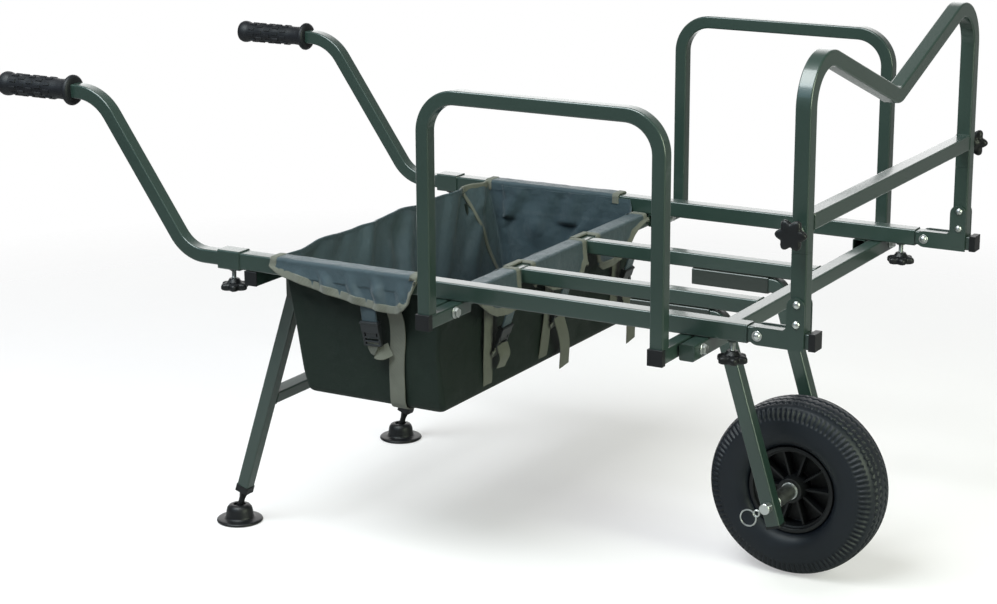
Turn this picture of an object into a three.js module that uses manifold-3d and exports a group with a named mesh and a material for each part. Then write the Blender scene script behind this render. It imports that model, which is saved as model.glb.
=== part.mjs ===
// A folding two-handled fishing trolley (carp barrow) of square steel tube, with one pneumatic wheel,
// two bolted side loops, a V-shaped front loop that slides on its uprights, and a cloth bag under the bed.
// Millimetres, +X forward (towards the wheel), +Y to the far side, +Z up from the ground.
// While it is built, x = 0 lies at the front ends of the rails. The last lines centre the part.
import * as THREE from 'three';
import { mergeVertices } from 'three/addons/utils/BufferGeometryUtils.js';
import Module from 'manifold-3d';

const wasm = await Module();
wasm.setup();

// Fits
const weldGap = 0.3;            // between pieces that touch when they are bolted or welded
const slideClear = 0.3;         // each side of a tube that slides in another
const pinClear = 0.3;           // round a pin or a screw in its hole
const clothGap = 0.3;           // between cloth and the tube that it wraps
const cutOverrun = 4;           // how far a cutting tool passes the surface

// Facets
const cornerFacets = 1;         // of a tube's rounded corner
const bendFacet = 18;           // degrees of a bend
const wheelSides = 30;
const holeSides = 8;
const gripSides = 16;
const footSides = 24;

// Bed: two rails, and a ladder of thinner tubes under them
const railSize = 25;
const railWall = 1.5;
const railLength = 835;
const railTop = 457;            // above the ground
const bedWidth = 645;           // over the rails' outer faces
const tubeCorner = 2.4;         // outer corner radius of every tube
const ladderSize = 22;
const ladderWall = 1.5;
const innerBarSpacing = 206;    // between the inner bars' centre lines
const frontMemberSetback = 54;  // from the rails' front ends to its front face
const memberOverhang = 43;      // of the front and middle members, beyond the rails
const memberPlug = 2;           // closed end of a member
const rearMemberInset = 43;     // from the rails' rear ends to its centre line

// Side loops
const loopTube = 20;
const loopWall = 1.2;
const loopSpan = 372;           // over the legs' outer faces
const loopTop = 745;
const loopBend = 50;            // bend radius on the centre line
const loopClear = 65.5;         // from a rail's outer face to the loop's inner face
const loopArmInset = 3;         // from a member's face to the arm bolted beside it
const loopBoltSetout = 18.5;    // from a rail's outer face to the loop bolts
const loopBoltTip = 2.8;        // of the thread, beyond the nut
const boltRadius = 4;
const boltHeadRadius = 6.8;
const boltHeadHeight = 5;
const washerRadius = 8.4;
const washerThickness = 1.4;
const capThickness = 3;
const capLip = 1.1;             // how far a cap stands out round its tube
const capPlugDepth = 12;
const capCorner = 2;

// Handles
const collarWall = 2;
const collarLength = 38;
const collarOverhang = 14;      // behind the rail's end
const handleStowed = 230;       // length of the handle tube inside its rail
const handleRun = 43;           // straight stretch behind the rail
const handleRise = 227;         // from the rails' centre line to the grips' centre line
const handleLean = 34.8;        // degrees between the sloping stretch and the vertical
const handleLowBend = 62;
const handleHighBend = 72;
const handleGripRun = 188;      // from the top corner of the bend to the tube's end
const gripLength = 147;
const gripRadius = 16;
const gripBulbRadius = 18.7;
const gripBulbLength = 19;
const gripFlangeRadius = 23.2;
const gripFlangeWidth = 9;
const gripNeckLength = 8;
const gripEndWall = 6;
const gripNeckShare = 1.03;     // of the grip's radius
const gripFlareShare = 0.16;    // of the grip's radius, where the flange begins to flare
const gripBulbShares = [[0, 0.62], [0.12, 0.86], [0.38, 1], [0.76, 1]]; // of length, of radius
const gripFlangeShares = [[0, 0.9], [0.28, 1], [0.72, 1], [1, 0.88]]; // of width, of radius

// Clamp knobs: a boss on the tube, a screw, a hub and a six-lobed head
const knobLobes = 6;
const knobRadius = 21.5;
const knobWaist = 14.5;         // radius of the hollows between the lobes
const knobThickness = 11;
const knobBevel = 1.2;
const knobHubRadius = 7.5;
const knobHubHeight = 6;
const knobScrewRadius = 3.8;
const knobScrewShown = 12;
const bossRadius = 7.5;
const bossHeight = 3.2;
const frontKnobSetback = 25;    // from the rails' front ends

// Front: arms in the rails, folding brackets, uprights and the V loop
const armShown = 92;            // length of the arms in front of the rails
const armStowed = 260;
const pivotSetout = 15;         // from the rails' front ends to the folding pivot
const bracketPlate = 2.5;
const bracketWidth = 25;
const bracketRise = 45;         // above the rails' top
const bracketToPivot = 12.4;    // round end of a bracket's cheeks, about the pivot
const bracketBoltRises = [9.5, 36]; // of its two riveted bolts, above the rails' top
const rivetRadius = 5.2;
const rivetHeight = 3.4;
const domeShares = [0.45, 0.8, 0.95];
const uprightSetout = 69;       // from the rails' front ends to the uprights' centre line
const uprightSize = 22;
const uprightTop = 560;
const frontLoopWall = 1.2;
const ventRadius = 4;           // weld vent between two tubes of a loop
const spigotShown = 130;        // thinner top of an upright, inside the loop's leg
const crossbarRise = 38;        // above the uprights' tops
const starKnobRise = 30;        // above the uprights' tops
const vPeakHeight = 813;
const vLean = 20;               // degrees between the V's arms and the horizontal
const vPeakBend = 58;
const vBottomBend = 32;

// Fork and wheel
const holderLength = 124;
const holderSetback = 150;      // from the rails' front ends to the holders' front ends
const forkLean = 17.1;          // degrees between a fork leg and the vertical
const forkBend = 13.3;          // on the centre line
const forkTail = 29;            // of a leg, below the axle
const axleSetback = 53.6;
const axleHeight = 131;
const axleRadius = 8;
const axleHeadRadius = 12;
const axleHeadThickness = 4;
const axleClipSetout = 6;       // from the near leg's outer face to the clip's hole
const axleEndSetout = 12;
const spacerWall = 3;
const tyreRadius = axleHeight;
const tyreWidth = 86;
const tyreWall = 6.5;
const treadGroove = 2.6;
const treadGrooveSetout = 14;   // from the wheel's middle plane
const rimRadius = 61;
const rimWidth = 62;
const rimLip = 5;
const rimWall = 4;
const rimWebs = 10;
const rimWebThickness = 3;
const rimDisc = 4;
const hubRadius = 19;
const hubWidth = 72;
const clipWire = 1.1;           // radius
const clipRingRadius = 12;
const clipCoilRadius = 4.5;
const clipPinShown = 3.3;       // on each side of the axle
const clipTilt = 35;            // degrees of the pin above the horizontal

// Rear legs and feet
const legSize = 20;
const legWall = 1.5;
const legInset = 87.5;          // from a rail's outer face to a leg's centre line
const legLean = 18.1;           // degrees between a leg and the vertical
const legPivotSetout = 21;      // in front of the rear member
const legTopReach = 8.3;        // above the pivot
const legBottomHeight = 58;
const legStopDrop = 9;          // of the stop on the leg's rear face, below the pivot
const legLugDrop = 44;          // below the pivot
const legLug = 3;
const legLugReach = 36;
const legBarHeight = 210;
const legFerrule = 16;
const footRadius = 36;
const footBase = 4;
const footDomeRadius = 21;
const footDomeHeight = 27;
const footBallHeight = 20;
const footBallRadius = 7;
const footPadShares = [[0, 0.96], [0.4, 1], [1, 0.97], [1.25, 0.62]]; // of its base's height, of its radius
const footDomeShares = [[0.25, 1], [0.72, 0.92], [1, 0.6]]; // of the dome's height, of its radius
const footMouthShare = 0.82;    // of the ball's radius, at the ball's middle
const footWellShare = 0.87;     // of the dome's radius, one dome's height above the ball
const footStemShare = 0.55;     // of the ball's radius

// Bag
const bagRearGap = 43;          // from the rear member's front face to the bag's rear edge
const bagRearSlope = 16;        // how far the rear wall leans in, from its edge to its foot
const bagFrontSlope = 12;       // how far the front wall leans in, from the middle member down
const bagDepth = 207;           // below the rails' top
const bagBottomRound = 16;
const bagWall = 2.4;
const bagTopSlack = 3;          // below the rails' top
const flapRearGap = 31;         // from the rear member's front face to the flaps
const flapFrontGap = 46;        // from the flaps to the middle member's rear face
const flapDrop = 40;            // below the rails' top, outside the rails
const frontFlapDrop = 20;       // below the members' underside
const frontFlapGap = 6;         // beside the inner bars and the rails

// Worked out from the sizes above
const railMid = railTop - railSize / 2;
const ladderTop = railTop - railSize;
const ladderMid = ladderTop - ladderSize / 2 - weldGap;
const ladderBottom = ladderMid - ladderSize / 2;
const railY = bedWidth / 2 - railSize / 2;
const innerBarY = innerBarSpacing / 2;
const slideTube = railSize - 2 * (railWall + slideClear);
const slideWall = 1.3;
const frontMemberX = -frontMemberSetback - ladderSize / 2;
const rearMemberX = -railLength + rearMemberInset;
const rearMemberFace = rearMemberX + ladderSize / 2;
const loopArmFrontX = frontMemberX - ladderSize / 2 - loopArmInset - loopTube / 2;
const loopArmRearX = loopArmFrontX - loopSpan + loopTube;
const middleMemberX = loopArmRearX - loopTube / 2 - loopArmInset - ladderSize / 2;
const loopReach = bedWidth / 2 + loopClear + loopTube;
const loopY = loopReach - loopTube / 2;
const loopBoltReach = bedWidth / 2 + loopBoltSetout;
const loopArmMid = ladderTop - weldGap - loopTube / 2;
const memberReach = bedWidth / 2 + memberOverhang;
const crossbarHeight = uprightTop + crossbarRise;
const starKnobHeight = uprightTop + starKnobRise;
const legSpacing = bedWidth - 2 * legInset;
const legPivotX = rearMemberFace + legPivotSetout;
const legPivotHeight = ladderMid;
const legTopHeight = legPivotHeight + legTopReach;
const steel = { color: 0x37423d, roughness: 0.45, metalness: 0.35 };
const steelDark = { color: 0x2b3530, roughness: 0.5, metalness: 0.3 };
const zinc = { color: 0xc9cccb, roughness: 0.3, metalness: 0.9 };
const blackPlastic = { color: 0x17191a, roughness: 0.55, metalness: 0 };
const tyreRubber = { color: 0x1a1c1f, roughness: 0.8, metalness: 0 };
const cloth = { color: 0x2a3230, roughness: 0.9, metalness: 0 };

const part = new THREE.Group();
const xAxis = new THREE.Vector3(1, 0, 0);
const yAxis = new THREE.Vector3(0, 1, 0);
const zAxis = new THREE.Vector3(0, 0, 1);
const radians = THREE.MathUtils.degToRad;
const at = (x, y, z) => new THREE.Vector3(x, y, z);

// Booleans: a geometry becomes a solid, and a solid becomes a geometry
function solidOf(geometry) {
  const plain = geometry.clone();
  for (const name of Object.keys(plain.attributes)) {
    if (name !== 'position') plain.deleteAttribute(name);
  }
  const merged = mergeVertices(plain, 1e-4);
  const vertProperties = new Float32Array(merged.attributes.position.array);
  const triVerts = new Uint32Array(merged.index.array);
  const mesh = new wasm.Mesh({ numProp: 3, vertProperties, triVerts });
  mesh.merge();
  return new wasm.Manifold(mesh);
}

function geometryOf(solid) {
  const mesh = solid.getMesh();
  const geometry = new THREE.BufferGeometry();
  geometry.setAttribute('position', new THREE.BufferAttribute(new Float32Array(mesh.vertProperties), 3));
  geometry.setIndex(new THREE.BufferAttribute(new Uint32Array(mesh.triVerts), 1));
  geometry.computeVertexNormals();
  return geometry;
}

function join(...geometries) {
  return geometryOf(geometries.map(solidOf).reduce((whole, piece) => whole.add(piece)));
}

function cut(base, ...tools) {
  return geometryOf(tools.map(solidOf).reduce((whole, tool) => whole.subtract(tool), solidOf(base)));
}

function addPiece(name, geometry, look) {
  const mesh = new THREE.Mesh(geometry, new THREE.MeshStandardMaterial(look));
  mesh.name = name;
  part.add(mesh);
}

// Basic shapes
function boxBetween(low, high) {
  const size = high.clone().sub(low);
  const middle = low.clone().add(high).multiplyScalar(0.5);
  return new THREE.BoxGeometry(size.x, size.y, size.z).translate(middle.x, middle.y, middle.z);
}

function rodBetween(start, end, radius, sides = 16) {
  const along = end.clone().sub(start);
  const rod = new THREE.CylinderGeometry(radius, radius, along.length(), sides);
  rod.applyQuaternion(new THREE.Quaternion().setFromUnitVectors(yAxis, along.clone().normalize()));
  const middle = start.clone().add(end).multiplyScalar(0.5);
  return rod.translate(middle.x, middle.y, middle.z);
}

function squareOutline(size, corner, steps) {
  const reach = size / 2 - corner;
  const outline = [];
  for (let quarter = 0; quarter < 4; quarter += 1) {
    const cornerAngle = (quarter * Math.PI) / 2;
    const signX = quarter === 0 || quarter === 3 ? 1 : -1;
    const signY = quarter < 2 ? 1 : -1;
    for (let step = 0; step <= steps; step += 1) {
      const angle = cornerAngle + (step / steps) * (Math.PI / 2);
      const x = signX * reach + corner * Math.cos(angle);
      const y = signY * reach + corner * Math.sin(angle);
      outline.push(new THREE.Vector2(x, y));
    }
  }
  return outline;
}

// A path of straight stretches joined by arcs, in one plane: corners is a list of { point, bend }
function bentPath(corners) {
  const path = [];
  corners.forEach(({ point, bend }, index) => {
    const before = corners[index - 1];
    const after = corners[index + 1];
    if (!before || !after || !bend) {
      const from = before ? before.point : point;
      const to = after && !before ? after.point : point;
      path.push({ point, tangent: to.clone().sub(from).normalize() });
      return;
    }
    const incoming = point.clone().sub(before.point).normalize();
    const outgoing = after.point.clone().sub(point).normalize();
    const turn = incoming.angleTo(outgoing);
    const axis = incoming.clone().cross(outgoing).normalize();
    const start = point.clone().addScaledVector(incoming, -bend * Math.tan(turn / 2));
    const inward = axis.clone().cross(incoming);
    const centre = start.clone().addScaledVector(inward, bend);
    const steps = Math.max(2, Math.ceil(THREE.MathUtils.radToDeg(turn) / bendFacet));
    for (let step = 0; step <= steps; step += 1) {
      const angle = (turn * step) / steps;
      const spoke = start.clone().sub(centre).applyAxisAngle(axis, angle);
      path.push({ point: centre.clone().add(spoke), tangent: incoming.clone().applyAxisAngle(axis, angle) });
    }
  });
  return path;
}

// Solid square bar swept along a path. side is the normal of the path's plane.
function sweptBar(path, side, size, corner) {
  const outline = squareOutline(size, corner, cornerFacets);
  const count = outline.length;
  const positions = [];
  const faces = [];
  for (const { point, tangent } of path) {
    const across = side.clone().cross(tangent).normalize();
    for (const spot of outline) {
      const vertex = point.clone().addScaledVector(across, spot.x).addScaledVector(side, spot.y);
      positions.push(vertex.x, vertex.y, vertex.z);
    }
  }
  for (let ring = 0; ring + 1 < path.length; ring += 1) {
    for (let k = 0; k < count; k += 1) {
      const low = ring * count;
      const high = low + count;
      const next = (k + 1) % count;
      faces.push(low + k, low + next, high + next, low + k, high + next, high + k);
    }
  }
  const last = (path.length - 1) * count;
  for (let k = 1; k + 1 < count; k += 1) {
    faces.push(0, k + 1, k, last, last + k, last + k + 1);
  }
  const geometry = new THREE.BufferGeometry();
  geometry.setAttribute('position', new THREE.Float32BufferAttribute(positions, 3));
  geometry.setIndex(faces);
  geometry.computeVertexNormals();
  return geometry;
}

// Square tube swept along a path, open at both ends. Without a wall it is a solid bar.
function sweptTube(path, side, size, wall, corner = tubeCorner) {
  const outer = sweptBar(path, side, size, corner);
  if (!wall) return outer;
  const moved = ({ point, tangent }, along) => ({ point: point.clone().addScaledVector(tangent, along), tangent });
  const borePath = [moved(path[0], -cutOverrun), ...path.slice(1, -1), moved(path[path.length - 1], cutOverrun)];
  return cut(outer, sweptBar(borePath, side, size - 2 * wall, Math.max(corner - wall, wall / 2)));
}

function straightTube(start, end, side, size, wall, corner = tubeCorner) {
  return sweptTube(bentPath([{ point: start }, { point: end }]), side, size, wall, corner);
}

// A body turned about the x, y or z axis. profile is a list of [distance along, radius].
function turnedBody(profile, axis, middle, sides) {
  const points = profile.map(([along, radius]) => new THREE.Vector2(radius, along));
  const body = new THREE.LatheGeometry(points, sides);
  body.applyQuaternion(new THREE.Quaternion().setFromUnitVectors(yAxis, axis));
  return body.translate(middle.x, middle.y, middle.z);
}

// A black plastic cap in a tube's open end. outward points out of the tube.
function addCap(name, tubeEnd, outward, side, size, wall, lip = capLip) {
  const plugSize = size - 2 * (wall + slideClear);
  const face = tubeEnd.clone().addScaledVector(outward, weldGap);
  const out = face.clone().addScaledVector(outward, capThickness);
  const inside = tubeEnd.clone().addScaledVector(outward, -capPlugDepth);
  const plate = sweptTube(bentPath([{ point: face }, { point: out }]), side, size + 2 * lip, 0, capCorner);
  const plug = sweptTube(bentPath([{ point: inside }, { point: out }]), side, plugSize, 0, capCorner / 2);
  addPiece(name, join(plate, plug), blackPlastic);
}

// Six-lobed clamp knob on a screw. mouth is where the screw leaves the boss, inward points into the tube.
function addKnob(name, mouth, inward, screwDepth) {
  const head = new THREE.Shape();
  const lobeStep = (2 * Math.PI) / knobLobes;
  const spotsPerLobe = 4;
  for (let spot = 0; spot < knobLobes * spotsPerLobe; spot += 1) {
    const angle = (spot * lobeStep) / spotsPerLobe;
    const swell = (1 + Math.cos(angle * knobLobes)) / 2;
    const radius = knobWaist + (knobRadius - knobBevel - knobWaist) * swell;
    if (spot === 0) head.moveTo(radius, 0);
    else head.lineTo(radius * Math.cos(angle), radius * Math.sin(angle));
  }
  head.closePath();
  const bevel = { bevelEnabled: true, bevelThickness: knobBevel, bevelSize: knobBevel, bevelSegments: 1 };
  const star = new THREE.ExtrudeGeometry(head, { depth: knobThickness - 2 * knobBevel, ...bevel });
  const hubFoot = knobScrewShown + knobHubHeight;
  star.translate(0, 0, -hubFoot - knobThickness + knobBevel);
  const hub = rodBetween(at(0, 0, -hubFoot - knobBevel), at(0, 0, -knobScrewShown), knobHubRadius, 12);
  const screw = rodBetween(at(0, 0, -hubFoot), at(0, 0, screwDepth), knobScrewRadius, 10);
  const knob = join(star, hub, screw);
  knob.applyQuaternion(new THREE.Quaternion().setFromUnitVectors(zAxis, inward));
  addPiece(name, knob.translate(mouth.x, mouth.y, mouth.z), blackPlastic);
}

// Boss round a clamp screw, to be joined to its tube, and the hole through boss and wall
function bossOn(face, outward) {
  const foot = face.clone().addScaledVector(outward, -railWall / 2);
  return rodBetween(foot, face.clone().addScaledVector(outward, bossHeight), bossRadius, 12);
}

function screwHole(face, outward, depth) {
  const outside = face.clone().addScaledVector(outward, bossHeight + cutOverrun);
  const inside = face.clone().addScaledVector(outward, -depth);
  return rodBetween(outside, inside, knobScrewRadius + pinClear, 10);
}

const mirrorSides = [['near', -1], ['far', 1]];

function addRails() {
  const collarSize = railSize + 2 * collarWall;
  const collarFace = railSize / 2 + collarWall;
  const rearEnd = -railLength;
  const collarMid = rearEnd - collarOverhang + collarLength / 2;
  for (const [sideName, sign] of mirrorSides) {
    const y = sign * railY;
    const rail = straightTube(at(rearEnd, y, railMid), at(0, y, railMid), yAxis, railSize, railWall);
    const collarStart = at(collarMid - collarLength / 2, y, railMid);
    const collarStop = at(collarMid + collarLength / 2, y, railMid);
    const collar = straightTube(collarStart, collarStop, yAxis, collarSize, collarWall + railWall);
    const rearFace = at(collarMid, y, railMid - collarFace);
    const frontFace = at(-frontKnobSetback, y, railMid - railSize / 2);
    const down = at(0, 0, -1);
    const rearDepth = collarWall + railWall + slideClear;
    const frontDepth = railWall + slideClear;
    const welded = join(rail, collar, bossOn(rearFace, down), bossOn(frontFace, down));
    const tools = [screwHole(rearFace, down, rearDepth + cutOverrun / 2)];
    tools.push(screwHole(frontFace, down, frontDepth + cutOverrun / 2));
    addPiece(`${sideName}_rail`, cut(welded, ...tools), steel);
    const rearMouth = rearFace.clone().addScaledVector(down, bossHeight);
    const frontMouth = frontFace.clone().addScaledVector(down, bossHeight);
    addKnob(`${sideName}_handle_knob`, rearMouth, zAxis, bossHeight + collarWall + railWall - pinClear);
    addKnob(`${sideName}_arm_knob`, frontMouth, zAxis, bossHeight + railWall - pinClear);
  }
}

// A cross member with closed ends and a hole for each loop bolt
function boltedMember(x) {
  const reach = at(x, memberReach, ladderMid);
  const start = at(x, -memberReach, ladderMid);
  const tube = straightTube(start, reach, xAxis, ladderSize, ladderWall);
  const plugs = mirrorSides.map(([, sign]) => {
    const outer = at(x, sign * memberReach, ladderMid);
    const inner = at(x, sign * (memberReach - memberPlug), ladderMid);
    const ends = sign < 0 ? [outer, inner] : [inner, outer];
    return straightTube(...ends, xAxis, ladderSize, 0);
  });
  const holes = mirrorSides.map(([, sign]) => loopBoltHole(x, sign));
  return cut(join(tube, ...plugs), ...holes);
}

function loopBoltHole(x, sign) {
  const half = ladderSize / 2 + cutOverrun;
  const y = sign * loopBoltReach;
  const ends = [at(x - half, y, loopArmMid), at(x + half, y, loopArmMid)];
  return rodBetween(...ends, boltRadius + pinClear, holeSides);
}

function addLadder() {
  addPiece('front_cross_member', boltedMember(frontMemberX), steel);
  addPiece('middle_cross_member', boltedMember(middleMemberX), steel);
  const barStart = middleMemberX + ladderSize / 2 + weldGap;
  const barEnd = frontMemberX - ladderSize / 2 - weldGap;
  for (const [sideName, sign] of mirrorSides) {
    const y = sign * innerBarY;
    const ends = [at(barStart, y, ladderMid), at(barEnd, y, ladderMid)];
    const bar = straightTube(...ends, yAxis, ladderSize, ladderWall);
    addPiece(`${sideName}_inner_bar`, bar, steel);
  }
}

// Rear member, with the lugs that carry the legs
function addRearMember() {
  const reach = bedWidth / 2 - capThickness;
  const start = at(rearMemberX, -reach, ladderMid);
  const tube = straightTube(start, at(rearMemberX, reach, ladderMid), xAxis, ladderSize, ladderWall);
  const lugs = [];
  const holes = [];
  for (const [, sign] of mirrorSides) {
    for (const cheek of [-1, 1]) {
      const inner = sign * (legSpacing / 2) + cheek * (legSize / 2 + slideClear);
      const outer = inner + cheek * legLug;
      const low = at(rearMemberFace - ladderWall / 2, Math.min(inner, outer), legPivotHeight - legLugDrop);
      const high = at(rearMemberFace + legLugReach, Math.max(inner, outer), ladderMid + ladderSize / 2);
      lugs.push(boxBetween(low, high));
    }
    holes.push(legPivotRod(sign, boltRadius + pinClear, cutOverrun));
  }
  addPiece('rear_cross_member', cut(join(tube, ...lugs), ...holes), steel);
  for (const [sideName, sign] of mirrorSides) {
    const end = at(rearMemberX, sign * reach, ladderMid);
    addCap(`${sideName}_rear_member_cap`, end, at(0, sign, 0), xAxis, ladderSize, ladderWall, 0);
  }
}

function legPivotRod(sign, radius, extra) {
  const half = legSize / 2 + slideClear + legLug + extra;
  const y = (sign * legSpacing) / 2;
  const ends = [at(legPivotX, y - half, legPivotHeight), at(legPivotX, y + half, legPivotHeight)];
  return rodBetween(...ends, radius, 12);
}

// Side loops: an inverted U on two arms that lie under the rail, bolted beside the cross members
function addSideLoops() {
  const legFoot = loopArmMid;
  const top = loopTop - loopTube / 2;
  const armEnd = loopReach;
  const armStart = bedWidth / 2 - railSize;
  for (const [sideName, sign] of mirrorSides) {
    const y = sign * loopY;
    const corners = [
      { point: at(loopArmRearX, y, legFoot) },
      { point: at(loopArmRearX, y, top), bend: loopBend },
      { point: at(loopArmFrontX, y, top), bend: loopBend },
      { point: at(loopArmFrontX, y, legFoot) },
    ];
    const bow = sweptTube(bentPath(corners), yAxis, loopTube, loopWall);
    const arms = [];
    const holes = [];
    const bores = [];
    for (const [armName, x] of [['rear', loopArmRearX], ['front', loopArmFrontX]]) {
      const inner = at(x, sign * armStart, loopArmMid);
      const outer = at(x, sign * armEnd, loopArmMid);
      const ends = sign < 0 ? [outer, inner] : [inner, outer];
      arms.push(straightTube(...ends, xAxis, loopTube, 0));
      bores.push(straightTube(
        at(x, ends[0].y - cutOverrun, loopArmMid),
        at(x, ends[1].y + cutOverrun, loopArmMid),
        xAxis,
        loopTube - 2 * loopWall,
        0,
        tubeCorner - loopWall,
      ));
      holes.push(loopBoltHole(x, sign));
      holes.push(rodBetween(at(x, y, loopArmMid), at(x, y, loopArmMid + loopTube), ventRadius, holeSides));
      addCap(`${sideName}_loop_${armName}_cap`, outer, at(0, sign, 0), xAxis, loopTube, loopWall);
    }
    addPiece(`${sideName}_side_loop`, cut(join(bow, ...arms), ...bores, ...holes), steel);
    addLoopBolt(`${sideName}_loop_rear_bolt`, sign, loopArmRearX + loopTube / 2, middleMemberX - ladderSize / 2);
    addLoopBolt(`${sideName}_loop_front_bolt`, sign, frontMemberX + ladderSize / 2, loopArmFrontX - loopTube / 2);
  }
}

// Hexagon bolt along x: the head bears on headFace, the nut on nutFace
function addLoopBolt(name, sign, headFace, nutFace) {
  const y = sign * loopBoltReach;
  const spot = (x) => at(x, y, loopArmMid);
  const headStart = headFace + weldGap;
  const nutStart = nutFace - weldGap;
  const tip = nutStart - boltHeadHeight - loopBoltTip;
  const shank = rodBetween(spot(tip), spot(headStart + boltHeadHeight), boltRadius, 10);
  const washer = rodBetween(spot(headStart), spot(headStart + washerThickness), washerRadius, 10);
  const head = rodBetween(spot(headStart), spot(headStart + washerThickness + boltHeadHeight), boltHeadRadius, 6);
  const nut = rodBetween(spot(nutStart - boltHeadHeight), spot(nutStart), boltHeadRadius, 6);
  addPiece(name, join(shank, washer, head, nut), zinc);
}

// Handles: an S-bent tube that slides in the rail, and a moulded grip
function addHandles() {
  const railEnd = -railLength;
  const slope = Math.tan(radians(handleLean)) * handleRise;
  const gripMid = railMid + handleRise;
  const lowCorner = railEnd - handleRun - handleLowBend * Math.tan(radians(90 - handleLean) / 2);
  const highCorner = lowCorner - slope;
  const tubeEnd = highCorner - handleGripRun;
  for (const [sideName, sign] of mirrorSides) {
    const y = sign * railY;
    const corners = [
      { point: at(tubeEnd, y, gripMid) },
      { point: at(highCorner, y, gripMid), bend: handleHighBend },
      { point: at(lowCorner, y, railMid), bend: handleLowBend },
      { point: at(railEnd + handleStowed, y, railMid) },
    ];
    addPiece(`${sideName}_handle`, sweptTube(bentPath(corners), yAxis, slideTube, slideWall), steel);
    addPiece(`${sideName}_grip`, gripOn(at(tubeEnd - gripEndWall, y, gripMid)), blackPlastic);
  }
}

// Grip along +x from its closed end: bulb, body, flange and neck, with a square socket for the tube
function gripOn(end) {
  const flangeStart = gripLength - gripNeckLength - gripFlangeWidth;
  const neckRadius = gripRadius * gripNeckShare;
  const bulb = gripBulbShares.map(([along, radius]) => [along * gripBulbLength, radius * gripBulbRadius]);
  const flange = gripFlangeShares.map(([along, radius]) => {
    return [flangeStart + along * gripFlangeWidth, radius * gripFlangeRadius];
  });
  const profile = [
    [0, 0],
    ...bulb,
    [gripBulbLength, gripRadius],
    [flangeStart - gripRadius * gripFlareShare, gripRadius],
    ...flange,
    [flangeStart + gripFlangeWidth, neckRadius],
    [gripLength, neckRadius],
    [gripLength, 0],
  ];
  const body = turnedBody(profile, xAxis, end, gripSides);
  const socketStart = end.clone().addScaledVector(xAxis, gripEndWall - slideClear);
  const socketEnd = end.clone().addScaledVector(xAxis, gripLength + cutOverrun);
  const socket = straightTube(socketStart, socketEnd, yAxis, slideTube + 2 * slideClear, 0);
  return cut(body, socket);
}

// Front arms in the rails, with their end caps and the folding pivots
function addFrontArms() {
  for (const [sideName, sign] of mirrorSides) {
    const y = sign * railY;
    const end = at(armShown, y, railMid);
    const tube = straightTube(at(-armStowed, y, railMid), end, yAxis, slideTube, slideWall);
    addPiece(`${sideName}_front_arm`, cut(tube, pivotRod(y, boltRadius + pinClear, cutOverrun)), steel);
    addCap(`${sideName}_front_arm_cap`, end, xAxis, yAxis, slideTube, slideWall);
    const cheek = uprightSize / 2 + slideClear + bracketPlate + weldGap;
    const shank = pivotRod(y, boltRadius, boltHeadHeight);
    const heads = [-1, 1].map((face) => {
      const seat = at(pivotSetout, y + face * cheek, railMid);
      const crown = at(pivotSetout, y + face * (cheek + boltHeadHeight), railMid);
      return rodBetween(seat, crown, boltHeadRadius, 14);
    });
    addPiece(`${sideName}_fold_pivot`, join(shank, ...heads), zinc);
  }
}

function pivotRod(y, radius, extra) {
  const half = uprightSize / 2 + slideClear + bracketPlate + weldGap + extra;
  return rodBetween(at(pivotSetout, y - half, railMid), at(pivotSetout, y + half, railMid), radius, 12);
}

// Bracket: two L-shaped cheeks beside arm and upright, held together by riveted bolts through the upright
function bracketOn(y) {
  const cheekShape = new THREE.Shape();
  const bottom = railMid - railSize / 2;
  const top = railTop + bracketRise;
  const front = uprightSetout + uprightSize / 2;
  const back = front - bracketWidth;
  const shoulder = railTop - bracketPlate;
  cheekShape.moveTo(pivotSetout, bottom);
  cheekShape.lineTo(front, bottom);
  cheekShape.lineTo(front, top - bracketWidth / 2);
  cheekShape.absarc(front - bracketWidth / 2, top - bracketWidth / 2, bracketWidth / 2, 0, Math.PI, false);
  cheekShape.lineTo(back, shoulder);
  cheekShape.lineTo(pivotSetout, railMid + bracketToPivot);
  cheekShape.absarc(pivotSetout, railMid, bracketToPivot, Math.PI / 2, 1.5 * Math.PI, false);
  const cheekIn = uprightSize / 2 + slideClear;
  const cheeks = [-1, 1].map((face) => {
    const sheet = { depth: bracketPlate, bevelEnabled: false, curveSegments: 5 };
    const plate = new THREE.ExtrudeGeometry(cheekShape, sheet);
    plate.rotateX(Math.PI / 2);
    const start = face < 0 ? y - cheekIn : y + cheekIn + bracketPlate;
    return plate.translate(0, start, 0);
  });
  const bolts = bracketBoltRises.map((rise) => rivetedBolt(y, railTop + rise, cheekIn + bracketPlate));
  return cut(join(...cheeks, ...bolts), pivotRod(y, boltRadius + pinClear, cutOverrun));
}

function rivetedBolt(y, height, half) {
  const seat = (face) => at(uprightSetout, y + face * half, height);
  const dome = [[0, 0], [0, rivetRadius]];
  for (const share of domeShares) {
    dome.push([rivetHeight * share, rivetRadius * Math.sqrt(1 - share * share)]);
  }
  dome.push([rivetHeight, 0]);
  const heads = [-1, 1].map((face) => turnedBody(dome, at(0, face, 0), seat(face), 12));
  return join(rodBetween(seat(-1), seat(1), boltRadius, 12), ...heads);
}

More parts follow.
